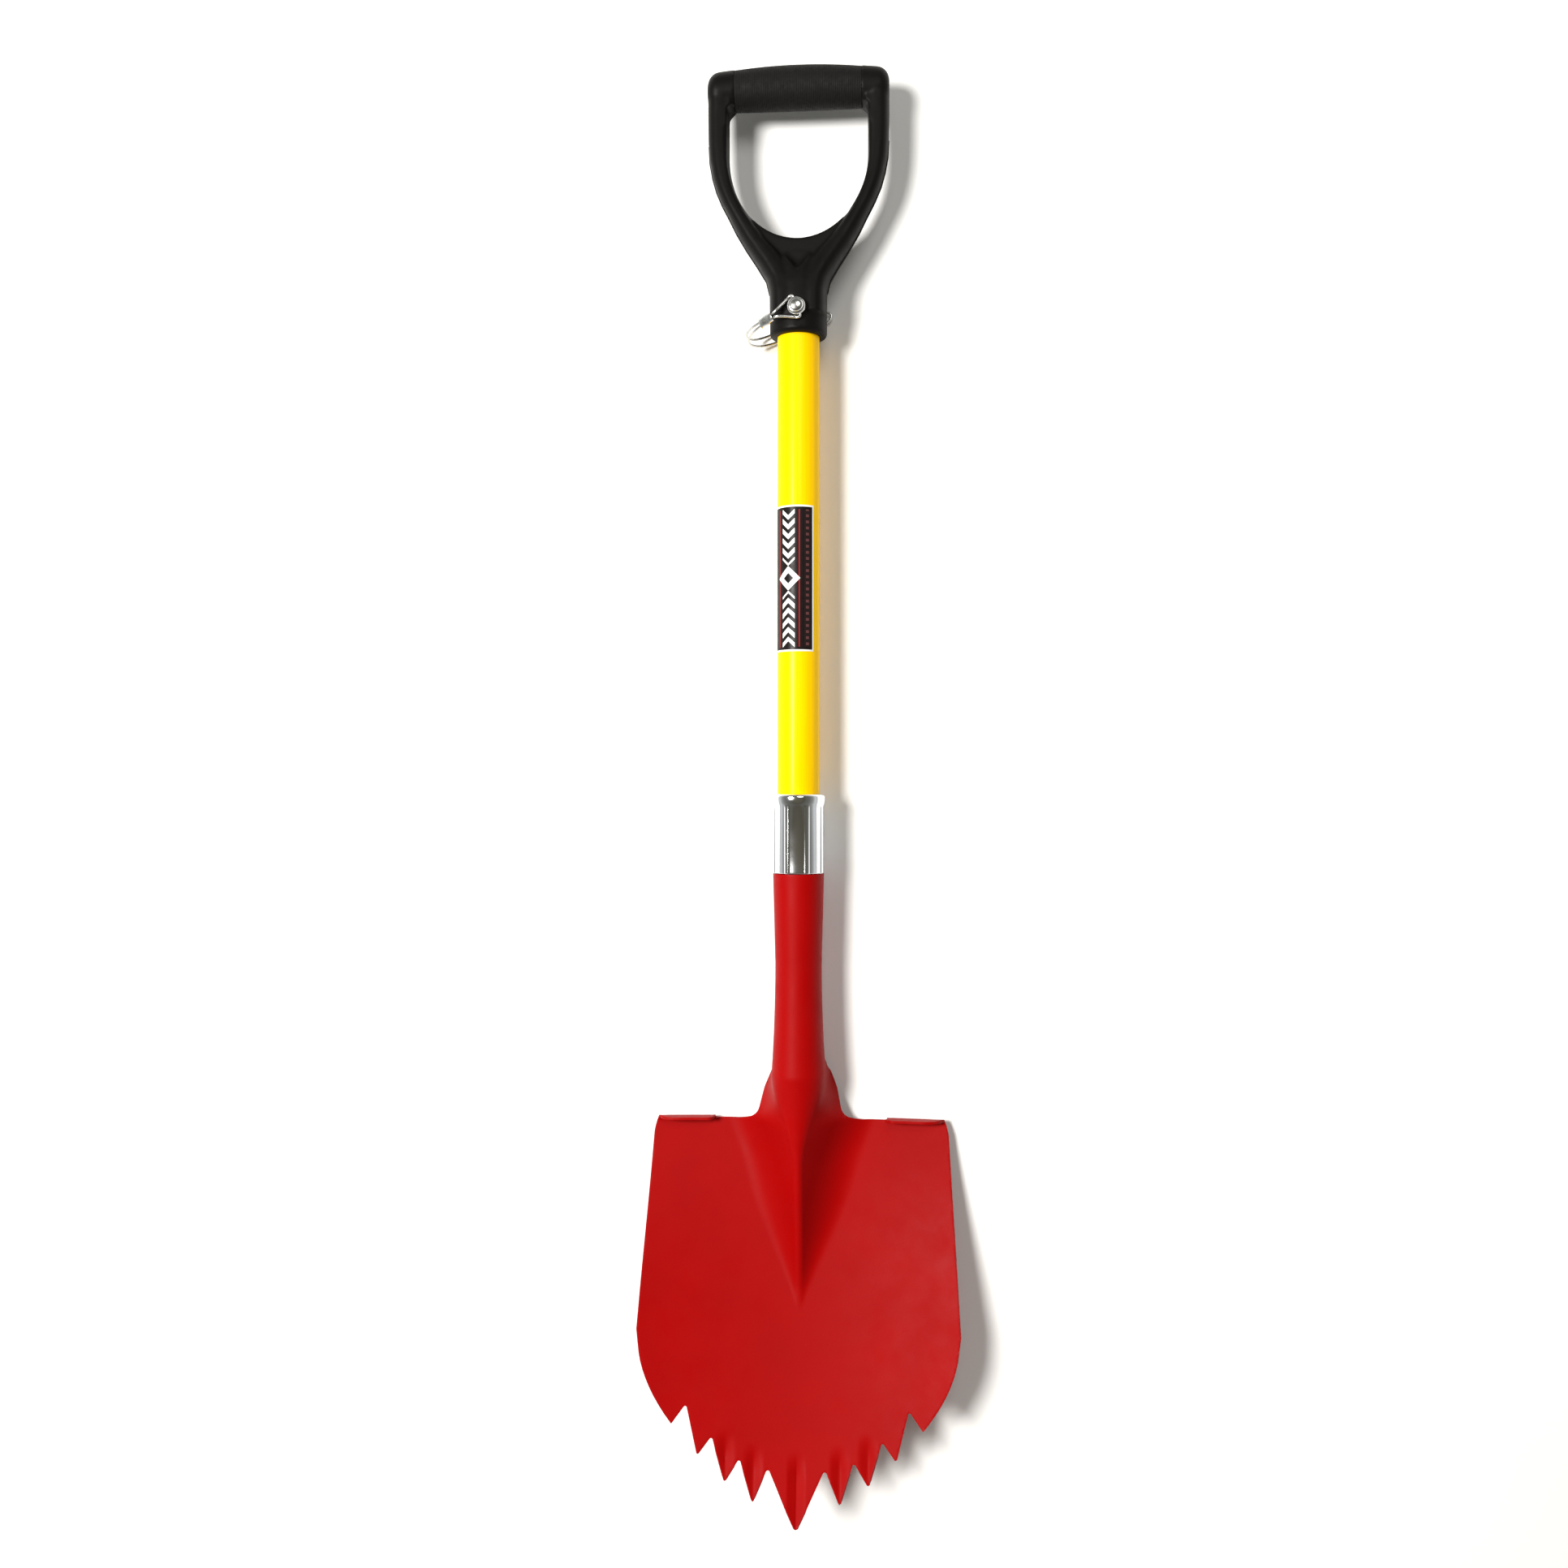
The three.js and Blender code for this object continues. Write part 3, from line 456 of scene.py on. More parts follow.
def printed_label(colour):
    """Gloss film printed with a plain border, two red rules, a dashed strip, chevrons and a diamond."""
    n = Nodes("printed_film")
    across, along, _ = n.add("ShaderNodeSeparateXYZ").outputs
    n.link(n.add("ShaderNodeUVMap").outputs[0], across.node.inputs[0])
    field = n.maths("MULTIPLY", band(n, across, 0.5, 0.468), band(n, along, 0.5, 0.488))
    fleck = n.remap(n.noise(1800.0, 4.0), 0.35, 0.7, 0.0, 1.0)
    ink = n.blend(fleck, rgba(colour, 0.8), rgba(colour, 1.3))
    sheet = n.blend(field, (0.82, 0.81, 0.78, 1.0), ink)
    inner = band(n, along, 0.5, 0.47)
    rules = n.maths("MAXIMUM", band(n, across, 0.29, 0.011), band(n, across, 0.71, 0.011))
    sheet = n.blend(n.maths("MULTIPLY", rules, inner), sheet, (0.3, 0.014, 0.014, 1.0))
    strip = n.maths("MULTIPLY", band(n, across, 0.865, 0.062), inner)
    sheet = n.blend(strip, sheet, (0.016, 0.009, 0.009, 1.0))
    dashes = n.maths("LESS_THAN", n.maths("FRACT", n.maths("MULTIPLY", along, 24.0)), 0.45)
    dashes = n.maths("MULTIPLY", n.maths("MULTIPLY", dashes, band(n, across, 0.865, 0.03)), inner)
    sheet = n.blend(dashes, sheet, (0.11, 0.04, 0.042, 1.0))
    lean = n.maths("MULTIPLY", n.maths("ABSOLUTE", n.maths("SUBTRACT", across, 0.5)), 0.34)
    run = n.maths("SUBTRACT", n.maths("ABSOLUTE", n.maths("SUBTRACT", along, 0.5)), lean)
    stripes = n.maths("LESS_THAN", n.maths("FRACT", n.maths("MULTIPLY", run, 15.0)), 0.52)
    motif = n.maths("MULTIPLY", stripes, band(n, across, 0.5, 0.125))
    motif = n.maths("MULTIPLY", motif, n.maths("GREATER_THAN", run, 0.085))
    motif = n.maths("MULTIPLY", motif, n.maths("LESS_THAN", run, 0.43))
    dot_run = n.maths("MULTIPLY", n.maths("SUBTRACT", along, 0.5), 2.75)
    aside = n.maths("ABSOLUTE", n.maths("SUBTRACT", across, 0.5))
    reach = n.maths("ADD", n.maths("ABSOLUTE", dot_run), aside)
    diamond = n.maths("MULTIPLY", n.maths("LESS_THAN", reach, 0.23), n.maths("GREATER_THAN", reach, 0.1))
    n.set(Base_Color=n.blend(n.maths("MAXIMUM", motif, diamond), sheet, (0.85, 0.85, 0.83, 1.0)))
    n.set(Roughness=n.mottle(300.0, 4.0, 0.3, 0.42), Specular_IOR_Level=0.12)
    n.set(Normal=n.bump(n.noise(260.0, 3.0), 0.0001, 0.3))
    return n.material


def pale_floor():
    n = Nodes("pale_floor")
    weave = n.noise(6.0, 3.0)
    n.set(Base_Color=n.blend(weave, (0.93, 0.925, 0.915, 1.0), (0.9, 0.893, 0.88, 1.0)), Roughness=0.9)
    return n.material


# ---------------------------------------------------------------- sizes and colours

def length(name, description, default):
    return bpy.props.FloatProperty(
        name=name, description=description, default=default, unit="LENGTH", subtype="DISTANCE", precision=4
    )


def angle(name, description, degrees):
    return bpy.props.FloatProperty(
        name=name, description=description, default=math.radians(degrees), unit="ROTATION", subtype="ANGLE"
    )


def colour(name, description, default):
    return bpy.props.FloatVectorProperty(
        name=name, description=description, default=default, size=3, min=0, max=1, subtype="COLOR"
    )


def half_width(low, high):
    return (high.x - low.x) / 2


def half_depth(low, high):
    return (high.z - low.z) / 2


class BladeSizes(bpy.types.PropertyGroup):
    length: length("Blade length", "From the tip to the heel", 0.273)
    width: length("Blade width", "Across the widest place", BLADE_HIGH.x - BLADE_LOW.x)
    heel_width: length("Heel width", "Across the heel", 0.215)
    widest: length("Widest place", "From the tip to the widest place", 0.130)
    thickness: length("Sheet thickness", "Thickness of the steel sheet", 0.002)
    heel_drop: length("Heel drop", "How far the heel lies behind the shaft's axis", 0.0288)
    tip_rise: length("Tip rise", "How far the tip lies in front of the shaft's axis", 0.033)
    bow: length("Lengthwise bow", "Depth of the scoop's curve from heel to tip", 0.005)
    heel_dish: length("Heel dish", "Depth of the scoop across the heel", 0.007)
    middle_dish: length("Middle dish", "Depth of the scoop across its middle", 0.015)
    frog: length("Frog length", "How far the pressed roof runs down the blade", 0.116)
    flank: angle("Frog flank", "Slope of the roof's sides", 49)
    crease: length("Crease radius", "Radius of the roof's crease", 0.003)
    neck: length("Neck length", "From the heel to where the wings start", 0.037)
    neck_radius: length("Neck radius", "Radius of the sheet where the wings start", 0.0184)
    waist: length("Waist place", "From the neck to the socket's narrowest place", 0.080)
    waist_radius: length("Waist radius", "Radius of the sheet at the waist", 0.0156)
    mouth_radius: length("Mouth radius", "Radius of the sheet at the socket's mouth", 0.0172)
    curl: length("Curl length", "How long the sides take to close at the back", 0.036)
    tread: length("Tread length", "Length of each foot tread", 0.044)
    tread_height: length("Tread height", "How far each tread is turned forward", 0.013)


class ShovelSizes(bpy.types.PropertyGroup):
    shaft_radius: length("Shaft radius", "Radius of the tube", half_width(SHAFT_LOW, SHAFT_HIGH))
    shaft_wall: length("Shaft wall", "Wall of the tube", 0.004)
    ferrule_radius: length("Ferrule radius", "Radius over the ribs between the flutes", 0.0189)
    rim_radius: length("Rim radius", "Radius of the smooth rim", half_width(FERRULE_LOW, FERRULE_HIGH))
    flutes: bpy.props.IntProperty(name="Flutes", description="Flutes round the ferrule", default=8, min=3)
    barrel_radius: length("Barrel radius", "Radius of the grip's barrel", half_depth(HANDLE_LOW, HANDLE_HIGH))
    sleeve_radius: length("Sleeve radius", "Radius at its middle", half_depth(SLEEVE_LOW, SLEEVE_HIGH))
    rib_pitch: length("Rib pitch", "From rib to rib along the sleeve", 0.0013)
    pin_radius: length("Pin radius", "Radius of the pin's shank", 0.004)
    pin_head: length("Pin head", "Radius of the pin's head", half_width(PIN_LOW, PIN_HIGH))
    wire_radius: length("Wire radius", "Radius of the bail's wire", 0.00095)
    bail_tilt: angle("Bail tilt", "Angle of the bail below the sideways direction", 21)


class ShovelColours(bpy.types.PropertyGroup):
    coat: colour("Powder coat", "Blade and socket", (0.3, 0.0008, 0.0008))
    resin: colour("Resin", "Shaft", (1.0, 0.58, 0.0))
    plastic: colour("Plastic", "D-grip", (0.0052, 0.0046, 0.0042))
    rubber: colour("Rubber", "Ribbed sleeve", (0.0056, 0.0048, 0.0042))
    film: colour("Film", "Ground colour of the label", (0.008, 0.005, 0.005))
    chrome: colour("Chrome", "Ferrule", (0.8, 0.82, 0.84))
    zinc: colour("Zinc", "Pin, wire and crimp", (0.6, 0.6, 0.58))


# ---------------------------------------------------------------- the blade's form

class PressedSheet:
    """The middle of the blade's one sheet: scoop, frog and rolled socket, in millimetres."""

    seam = 0.985
    bend = 3.0
    point_blend = 7.0
    foot_blend = 18.0
    valleys = ((0.0, 50.0), (30.3, 55.0), (50.2, 64.0))
    valley_half = 6.5
    valley_depth = 2.5
    valley_run_in = 18.0

    def __init__(self, sizes):
        for name in BladeSizes.__annotations__:
            setattr(self, name, getattr(sizes, name) / MM)
        self.flank = sizes.flank
        self.kink = self.length + self.neck
        self.top = (SOCKET_TOP_Y - TIP_Y) / MM
        self.sides = np.concatenate([np.arange(0, 26, 0.02), np.arange(26, 0.55 * self.width, 0.25)])
        self.fold = self.length + 1 - self.bend * (1 + math.sin(math.atan(self.slope())))

    def slope(self):
        step = 0.5
        low, high = self.dish(0.0, self.length - step), self.dish(0.0, self.length)
        return (low - high) / step

    def dish(self, x, y):
        share = max(0.0, (self.length - y) / self.length)
        centre = mix(-self.heel_drop, self.tip_rise, share) - 4 * self.bow * share * (1 - share)
        depth = mix(self.heel_dish, self.middle_dish, smoothstep(share, 0, 0.45))
        return centre + depth * (2 * x / self.width) ** 2

    def crest(self, y):
        point = self.length - self.frog
        return mix(self.dish(0.0, point), self.neck_radius, (y - point) / (self.kink - point))

    def roof(self, x, y):
        radius = mix(self.crease, self.neck_radius, smoothstep(y, self.length - 30, self.kink))
        flank = mix(self.flank, math.radians(87), smoothstep(y, self.length, self.kink))
        edge = radius * math.sin(flank)
        arc = np.sqrt(np.maximum(radius * radius - x * x, 0))
        line = radius * math.cos(flank) - math.tan(flank) * (x - edge)
        return self.crest(y) - radius + np.where(x < edge, arc, line)

    def height(self, x, y):
        low, high = self.dish(x, y), self.roof(x, y)
        point = self.length - self.frog
        soft = mix(self.point_blend, self.foot_blend, smoothstep(y, point - 10, point + 70))
        near = np.maximum(soft - np.abs(low - high), 0) / soft
        return np.maximum(low, high) + near * near * soft / 4 - self.groove(x, y)

    def groove(self, x, y):
        """Valleys stamped down the middle tooth and the next two on each side."""
        total = 0.0
        for centre, start in self.valleys:
            valley = np.maximum(1 - np.abs(x - centre) / self.valley_half, 0)
            total = total + self.valley_depth * valley * smoothstep(start - y, 0, self.valley_run_in)
        return total

    def rim(self, y):
        above = y - self.kink - self.waist
        if above < 0:
            return self.waist_radius + (self.neck_radius - self.waist_radius) * (-above / self.waist) ** 2
        return mix(self.waist_radius, self.mouth_radius, above / (self.top - self.kink - self.waist))

    def walk(self, y):
        """Places across one station of the pressed sheet, and the way walked along it to each."""
        z = self.height(self.sides, y)
        steps = np.hypot(np.diff(self.sides), np.diff(z))
        return self.sides, z, np.concatenate([[0], np.cumsum(steps)])

    def run(self, x, y):
        """The way along the sheet from the crease to x."""
        sides, _, way = self.walk(min(y, self.fold) if x > 50 else y)
        return float(np.interp(x, sides, way))

    def rolled(self, way, y):
        radius = self.rim(y)
        quarter = radius * math.pi / 2
        if way <= quarter:
            return radius * math.sin(way / radius), radius * math.cos(way / radius)
        curl = max(float(smoothstep(y, self.kink, self.kink + self.curl)), 0.01)
        turn = (way - quarter) * curl / radius
        return radius - radius / curl * (1 - math.cos(turn)), -radius / curl * math.sin(turn)

    def turned(self, z, y):
        """A point of the heel beyond the fold, where the tread is bent forward."""
        start = -math.atan(self.slope())
        along = y - self.fold
        arc = self.bend * (math.pi / 2 - start)
        angle = start + min(along, arc) / self.bend
        out = self.fold + self.bend * (math.sin(angle) - math.sin(start))
        up = z + self.bend * (math.cos(start) - math.cos(angle))
        return out, up + max(0.0, along - arc)

    def places(self, domain):
        """Row points for (way, y) pairs of the flat pattern."""
        tables = {}
        points = []
        for way, y in domain:
            side = -1.0 if way < 0 else 1.0
            way = abs(way)
            if y > self.kink:
                x, z = self.rolled(way, y)
                points.append(row_point(side * x, y, z))
                continue
            station = round(min(y, self.fold) if way > 72 else y, 4)
            if station not in tables:
                tables[station] = self.walk(station)
            sides, heights, ways = tables[station]
            x, z = float(np.interp(way, ways, sides)), float(np.interp(way, ways, heights))
            out, up = y, z
            if way > 72 and y > self.fold:
                share = float(smoothstep(x, self.tread_inner() - 3, self.tread_inner()))
                bent_out, bent_up = self.turned(z, y)
                flat_y = min(y, self.length)
                flat_up = z - (flat_y - self.fold) * self.slope()
                out, up = mix(flat_y, bent_out, share), mix(flat_up, bent_up, share)
            points.append(row_point(side * x, out, up))
        return points

    def tread_inner(self):
        return self.heel_width / 2 - 0.5 - self.tread


def softened(points):
    """Rounds the corners of an outline of (x, y, radius) points."""
    result = []
    for i, (x, y, radius) in enumerate(points):
        here = Vector((x, y))
        if radius == 0 or i in (0, len(points) - 1):
            result.append(here)
            continue
        back = Vector(points[i - 1][:2]) - here
        on = Vector(points[i + 1][:2]) - here
        half = back.angle(on) / 2
        reach = min(radius / math.tan(half), 0.45 * back.length, 0.45 * on.length)
        middle = here + (back.normalized() + on.normalized()).normalized() * reach / math.cos(half)
        first = here + back.normalized() * reach - middle
        last = here + on.normalized() * reach - middle
        for step in range(ARC_STEPS + 1):
            turn = first.normalized().slerp(last.normalized(), step / ARC_STEPS)
            result.append(middle + first.length * turn)
    return result


def quadratic(start, middle, end, count):
    start, middle, end = Vector(start), Vector(middle), Vector(end)
    shares = [i / count for i in range(count + 1)]
    return [start.lerp(middle, share).lerp(middle.lerp(end, share), share) for share in shares]


def blade_outline(sheet):
    """The right half of the blade's edge, from the wings down to the tip, as (x, y) on the flat pattern."""
    inner = sheet.tread_inner()
    heel = sheet.length - 0.2
    lip = sheet.fold + 4.7 + sheet.tread_height - sheet.bend
    outer = sheet.heel_width / 2 - 0.6
    half = sheet.width / 2 - 0.3
    wings = softened([
        (sheet.neck_radius + 1.4, sheet.kink, 0),
        (25.9, sheet.length + 22.6, 14),
        (29, sheet.length + 9.7, 0),
    ])
    fillet = quadratic((29, sheet.length + 9.7), (31, sheet.length + 1.2), (46, heel), 9)[1:-1]
    tread = softened([
        (46, heel, 0), (inner - 0.3, heel, 1.2), (inner + 0.6, lip, 4), (outer - 20, lip, 0),
    ])
    wings = wings + fillet + tread
    corner = quadratic((outer - 20, lip), (outer - 8, lip), (outer - 4.5, heel + 4), 8)[1:]
    corner += quadratic((outer - 4.5, heel + 4), (outer - 1, heel - 0.5), (outer + 0.4, heel - 10), 8)[1:]
    side = [(outer + 0.4, heel - 10, 0), (half, sheet.widest, 4), (half - 2.3, sheet.widest - 16, 0)]
    side = softened(side)[1:]
    shoulder = quadratic((half - 2.3, sheet.widest - 16), (108.0, 92.0), (89.4, 69.0), 8)[1:-1]
    teeth = softened([
        (89.4, 69.0, 0), (88.3, 67.6, 1.1), (78.5, 80, 1.2), (69.7, 46.8, 1.1), (59.8, 59, 1.2),
        (50.4, 28.4, 1.1), (40, 45, 1.2), (30.5, 15.4, 1.1), (20, 39.3, 1.4), (1.2, 0.6, 1.0), (0, 0.3, 0),
    ])
    return wings + corner + side + shoulder + teeth


def evenly(points, spacing):
    result = [points[0]]
    for start, end in zip(points, points[1:]):
        count = max(1, math.ceil((end - start).length / spacing))
        result += [start.lerp(end, (i + 1) / count) for i in range(count)]
    return result


def flat_pattern(sheet, spacing):
    """The flat pattern's edge as (way along the sheet, y) points, anticlockwise."""
    plan = evenly(blade_outline(sheet), spacing)
    right = [Vector((sheet.run(p.x, p.y), p.y)) for p in plan]
    stations = np.linspace(sheet.top, sheet.kink + 1.5, 70)
    socket = [Vector((math.pi * sheet.rim(y) * sheet.seam, y)) for y in stations]
    right = socket + right
    left = [Vector((-p.x, p.y)) for p in reversed(right[:-1])]
    mouth = [Vector((way, sheet.top)) for way in np.linspace(left[-1].x, right[0].x, 66)[1:-1]]
    return right + left + mouth


def inner_points(sheet, edge, across, along):
    """A regular filling of the pattern, kept clear of its edge."""
    ways = np.concatenate([np.arange(0, 8, 0.8), np.arange(8, 150, across)])
    ways = np.concatenate([-ways[:0:-1], ways])
    ys = np.arange(2.0, sheet.top - 0.8, along)
    grid = np.array([(w, y) for y in ys for w in ways])
    corners = np.array([(p.x, p.y) for p in edge])
    nexts = np.roll(corners, -1, axis=0)
    inside = np.zeros(len(grid), bool)
    clear = np.full(len(grid), 1e9)
    for (ax, ay), (bx, by) in zip(corners, nexts):
        crosses = (ay > grid[:, 1]) != (by > grid[:, 1])
        if ay != by:
            inside ^= crosses & (grid[:, 0] < (bx - ax) * (grid[:, 1] - ay) / (by - ay) + ax)
        run = np.array((bx - ax, by - ay))
        share = np.clip(((grid - (ax, ay)) @ run) / max(run @ run, 1e-9), 0, 1)
        clear = np.minimum(clear, np.hypot(*(grid - (ax, ay) - share[:, None] * run).T))
    return [Vector(p) for p in grid[inside & (clear > 0.75)]]


def make_blade(sheet):
    edge = flat_pattern(sheet, 1.5)
    across, along = ((1.6, 2.0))
    filling = inner_points(sheet, edge, across, along)
    rim = [(i, (i + 1) % len(edge)) for i in range(len(edge))]
    points, _, faces, *_ = geometry.delaunay_2d_cdt(edge + filling, rim, [], 1, 1e-5)
    blade = new_object("blade_sheet", sheet.places([(p.x, p.y) for p in points]), faces=faces)
    bm = bmesh.new()
    bm.from_mesh(blade.data)
    bmesh.ops.recalc_face_normals(bm, faces=bm.faces)
    front = max(bm.faces, key=lambda face: face.calc_area())
    if front.normal.z < 0:
        bmesh.ops.reverse_faces(bm, faces=bm.faces)
    bm.to_mesh(blade.data)
    bm.free()
    with_modifier(
        blade, "SOLIDIFY", thickness=sheet.thickness * MM, offset=0.0, use_even_offset=False, use_rim=True
    )
    bevelled(blade, 0.0005, 55)
    return blade


# ---------------------------------------------------------------- shaft pieces

def make_shaft(sizes, sheet):
    """The tube, with its narrower spigot inside the socket."""
    foot, top = SHAFT_LOW.y, SHAFT_HIGH.y
    step = SOCKET_TOP_Y - 0.009
    bore = sizes.shaft_radius - sizes.shaft_wall
    spigot = (sheet.waist_radius - sheet.thickness / 2 - 0.4) * MM
    profile = [(bore, foot), (spigot - 0.0006, foot), (spigot, foot + 0.0006), (spigot, step - 0.025)]
    profile += [(sizes.shaft_radius, step), (sizes.shaft_radius, top - 0.0006)]
    profile += [(sizes.shaft_radius - 0.0006, top), (bore, top), (bore, foot)]
    return spun("shaft", profile, (0, 0, AXIS_Z), (0, 1, 0), 128)


def make_ferrule(sizes):
    """A collar with a smooth rim, whose body is pressed in between the ribs."""
    low, high = FERRULE_LOW.y, FERRULE_HIGH.y
    body_low = SOCKET_TOP_Y + 0.0003
    body_high = high - 0.008
    bore = sizes.shaft_radius + 0.0002
    skirt = bore + 0.00045
    radius = sizes.ferrule_radius
    profile = [(bore, low), (skirt, low), (skirt, body_low), (radius - 0.0005, body_low)]
    profile += [(radius, body_low + 0.0005), (radius, body_low + 0.0014), (radius, body_high - 0.0016)]
    profile += [(radius, body_high - 0.0003), (sizes.rim_radius - 0.0003, body_high + 0.0008)]
    profile += [(sizes.rim_radius, body_high + 0.0014)]
    profile += rounded_rim(sizes.rim_radius, high, 0.0022)
    profile += [(bore + 0.0003, high), (bore, high - 0.0003), (bore, low)]
    ferrule = spun("ferrule_collar", profile, (0, 0, AXIS_Z), (0, 1, 0), sizes.flutes * 36)
    sector = 2 * math.pi / sizes.flutes
    for vertex in ferrule.data.vertices:
        x, up = vertex.co.x, vertex.co.z - AXIS_Z
        on_body = body_low - 0.0001 <= vertex.co.y <= body_high - 0.0008
        if math.hypot(x, up) < radius - 0.0008 or not on_body:
            continue
        off = abs((math.atan2(up, x) + sector / 2) % sector - sector / 2)
        floor = 1 - float(smoothstep(off, math.radians(15.6), math.radians(19.2)))
        shrink = 1 - 0.0006 * floor / math.hypot(x, up)
        vertex.co.x, vertex.co.z = x * shrink, AXIS_Z + up * shrink
    bevelled(ferrule, 0.0002, 40)
    return ferrule


def make_label(sizes):
    """A film bent round the front and left of the shaft."""
    start, end = math.radians(-97), math.radians(48)
    radius = sizes.shaft_radius + 0.00012
    low, high = LABEL_LOW.y, LABEL_HIGH.y
    bpy.ops.object.select_all(action="DESELECT")
    bpy.ops.mesh.primitive_grid_add(x_subdivisions=60, y_subdivisions=4, size=1, calc_uvs=True)
    film = bpy.context.object
    for vertex in film.data.vertices:
        bearing = mix(start, end, vertex.co.x + 0.5)
        vertex.co = (
            radius * math.sin(bearing),
            mix(low, high, vertex.co.y + 0.5),
            AXIS_Z + radius * math.cos(bearing),
        )
    with_modifier(film, "SOLIDIFY", thickness=0.00014, offset=1.0)
    return film


def make_rivet(node):
    """A domed rivet driven in from the back."""
    low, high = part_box(node)
    radius = (high.x - low.x) / 2
    middle = (low.y + high.y) / 2
    dome = 0.0022
    shank = 0.0025
    crown = low.z + dome
    profile = [(0.0, high.z), (shank, high.z), (shank, crown + 0.0002), (radius - 0.0002, crown)]
    for i in range(8):
        share = i / 7 * math.pi / 2
        profile.append((radius * math.cos(share), low.z + dome * (1 - math.sin(share))))
    return spun(node, profile, (0, middle, 0), (0, 0, 1), 40)


# ---------------------------------------------------------------- D-grip

def oval(centre, side, half, depth, power=2.4, count=28):
    """A rounded ring about a centre, half wide along the side direction and depth deep along Z."""
    ring = []
    for i in range(count):
        angle = 2 * math.pi * i / count
        c, s = math.cos(angle), math.sin(angle)
        across = math.copysign(abs(c) ** (2 / power), c) * half
        up = math.copysign(abs(s) ** (2 / power), s) * depth
        ring.append(row_point(centre.x + side.x * across, centre.y + side.y * across, up))
    return ring


def arm_stations(foot, bar, half):
    """Outer edge, inner edge and half depth down one arm, from the hand bar to the barrel."""
    outer = [
        (half, bar), (half, bar - 22), (half - 0.3, bar - 40), (half - 1.2, bar - 52),
        (half - 3.2, bar - 63), (half - 6.0, bar - 73), (half - 10.2, bar - 83), (half - 15.4, bar - 93),
        (half - 20.6, bar - 103.6), (half - 27.4, bar - 115.2), (half - 35.0, bar - 126.8),
        (half - 42.0, bar - 138.4), (20.5, foot + 31), (20.3, foot + 14),
    ]
    inner = [
        (47.5, bar), (47.5, bar - 22), (47.5, bar - 42), (46.5, bar - 56), (44.3, bar - 70),
        (40.5, bar - 81), (35, bar - 92), (28, bar - 102), (20, bar - 112), (11, bar - 121),
        (4, bar - 131), (1, bar - 140), (0.5, foot + 28), (0.5, foot + 14),
    ]
    depth = [13.2, 12.4, 12.2, 12.2, 12.4, 12.7, 13.1, 13.6, 14.3, 15.6, 17.2, 18.6, 19.8, 20.1]
    return [(Vector(o), Vector(i), d) for o, i, d in zip(outer, inner, depth)]


def make_arm(side, foot, bar, half):
    rings = []
    for outer, inner, depth in arm_stations(foot, bar, half):
        outer, inner = Vector((side * outer.x, outer.y)), Vector((side * inner.x, inner.y))
        across = (outer - inner) / 2
        rings.append(oval((outer + inner) / 2, across.normalized(), across.length, depth))
    return skinned("arm", rings)


def make_web(foot):
    """The flat web between the arms, under the opening."""
    outline = [(36, foot + 98), (30, foot + 74), (19, foot + 55), (17, foot + 30)]
    outline += [(-x, y) for x, y in reversed(outline)]
    return skinned("web", [[row_point(x, y, z) for x, y in outline] for z in (-9.2, 9.2)])


def make_opening(foot, bar):
    """The room inside the D, which widens a little toward both faces."""
    rings = []
    for z in (-24, -12, 0, 12, 24):
        grow = 0.11 * abs(z)
        wide, round_ = 49.4 + grow, 5.0
        ring = []
        for i in range(49):
            angle = math.pi + math.pi * i / 48
            ring.append((wide * math.cos(angle), foot + 130 + (60 + grow) * math.sin(angle)))
        for side in (1, -1):
            for i in range(7):
                turn = math.pi / 2 * (i if side > 0 else 6 - i) / 6
                across = wide - round_ + round_ * math.cos(turn)
                ring.append((side * across, bar - 19 + round_ * math.sin(turn)))
        rings.append([row_point(x, y, z) for x, y in ring])
    return skinned("opening", rings)


def make_pocket(foot, facing):
    """A V-shaped pocket with sloping sides that leaves the web's flat face."""
    floor = [(0, foot + 50), (14, foot + 62.5), (27.5, foot + 78), (31, foot + 92), (-31, foot + 92),
             (-27.5, foot + 78), (-14, foot + 62.5)]
    mouth = [(0, foot + 38), (20.5, foot + 57), (35.5, foot + 75.5), (40, foot + 92), (-40, foot + 92),
             (-35.5, foot + 75.5), (-20.5, foot + 57)]
    rings = [[row_point(x, y, facing * z) for x, y in ring] for ring, z in ((floor, 9.4), (mouth, 23))]
    return skinned("pocket", rings)


def make_gusset(side, bar, end):
    """The fillet between an arm's inner edge and the end of the sleeve."""
    outline = [(60, -1), (end - 0.3, -1), (end - 0.3, -24), (60, -44)]
    rings = []
    for z, slim in ((-11.6, 3.0), (-8.6, 0.5), (0, 0), (8.6, 0.5), (11.6, 3.0)):
        rings.append([row_point(side * (x + slim if x < 55 else x), bar + y, z) for x, y in outline])
    return skinned("gusset", rings)


def make_corner(side, bar_radius, end, half):
    """The moulding that takes one end of the hand bar, sloping down a little toward its outer corner."""
    crown = [(0, end - 0.7), (bar_radius, end - 0.7), (bar_radius - 0.1, end + 4)]
    for i in range(9):
        angle = i / 8 * math.pi / 2
        crown.append((bar_radius - 8.4 + 8.3 * math.cos(angle), half - 8.4 + 8.4 * math.sin(angle)))
    crown.append((0, half))
    corner = spun("corner", [(r * MM, side * x * MM) for r, x in crown], (0, BAR_Y, AXIS_Z), (1, 0, 0), 64)
    for vertex in corner.data.vertices:
        share = max(0.0, (abs(vertex.co.x) / MM - end) / (half - end))
        vertex.co.y -= (1.1 + 1.9 * share) * MM
    return corner


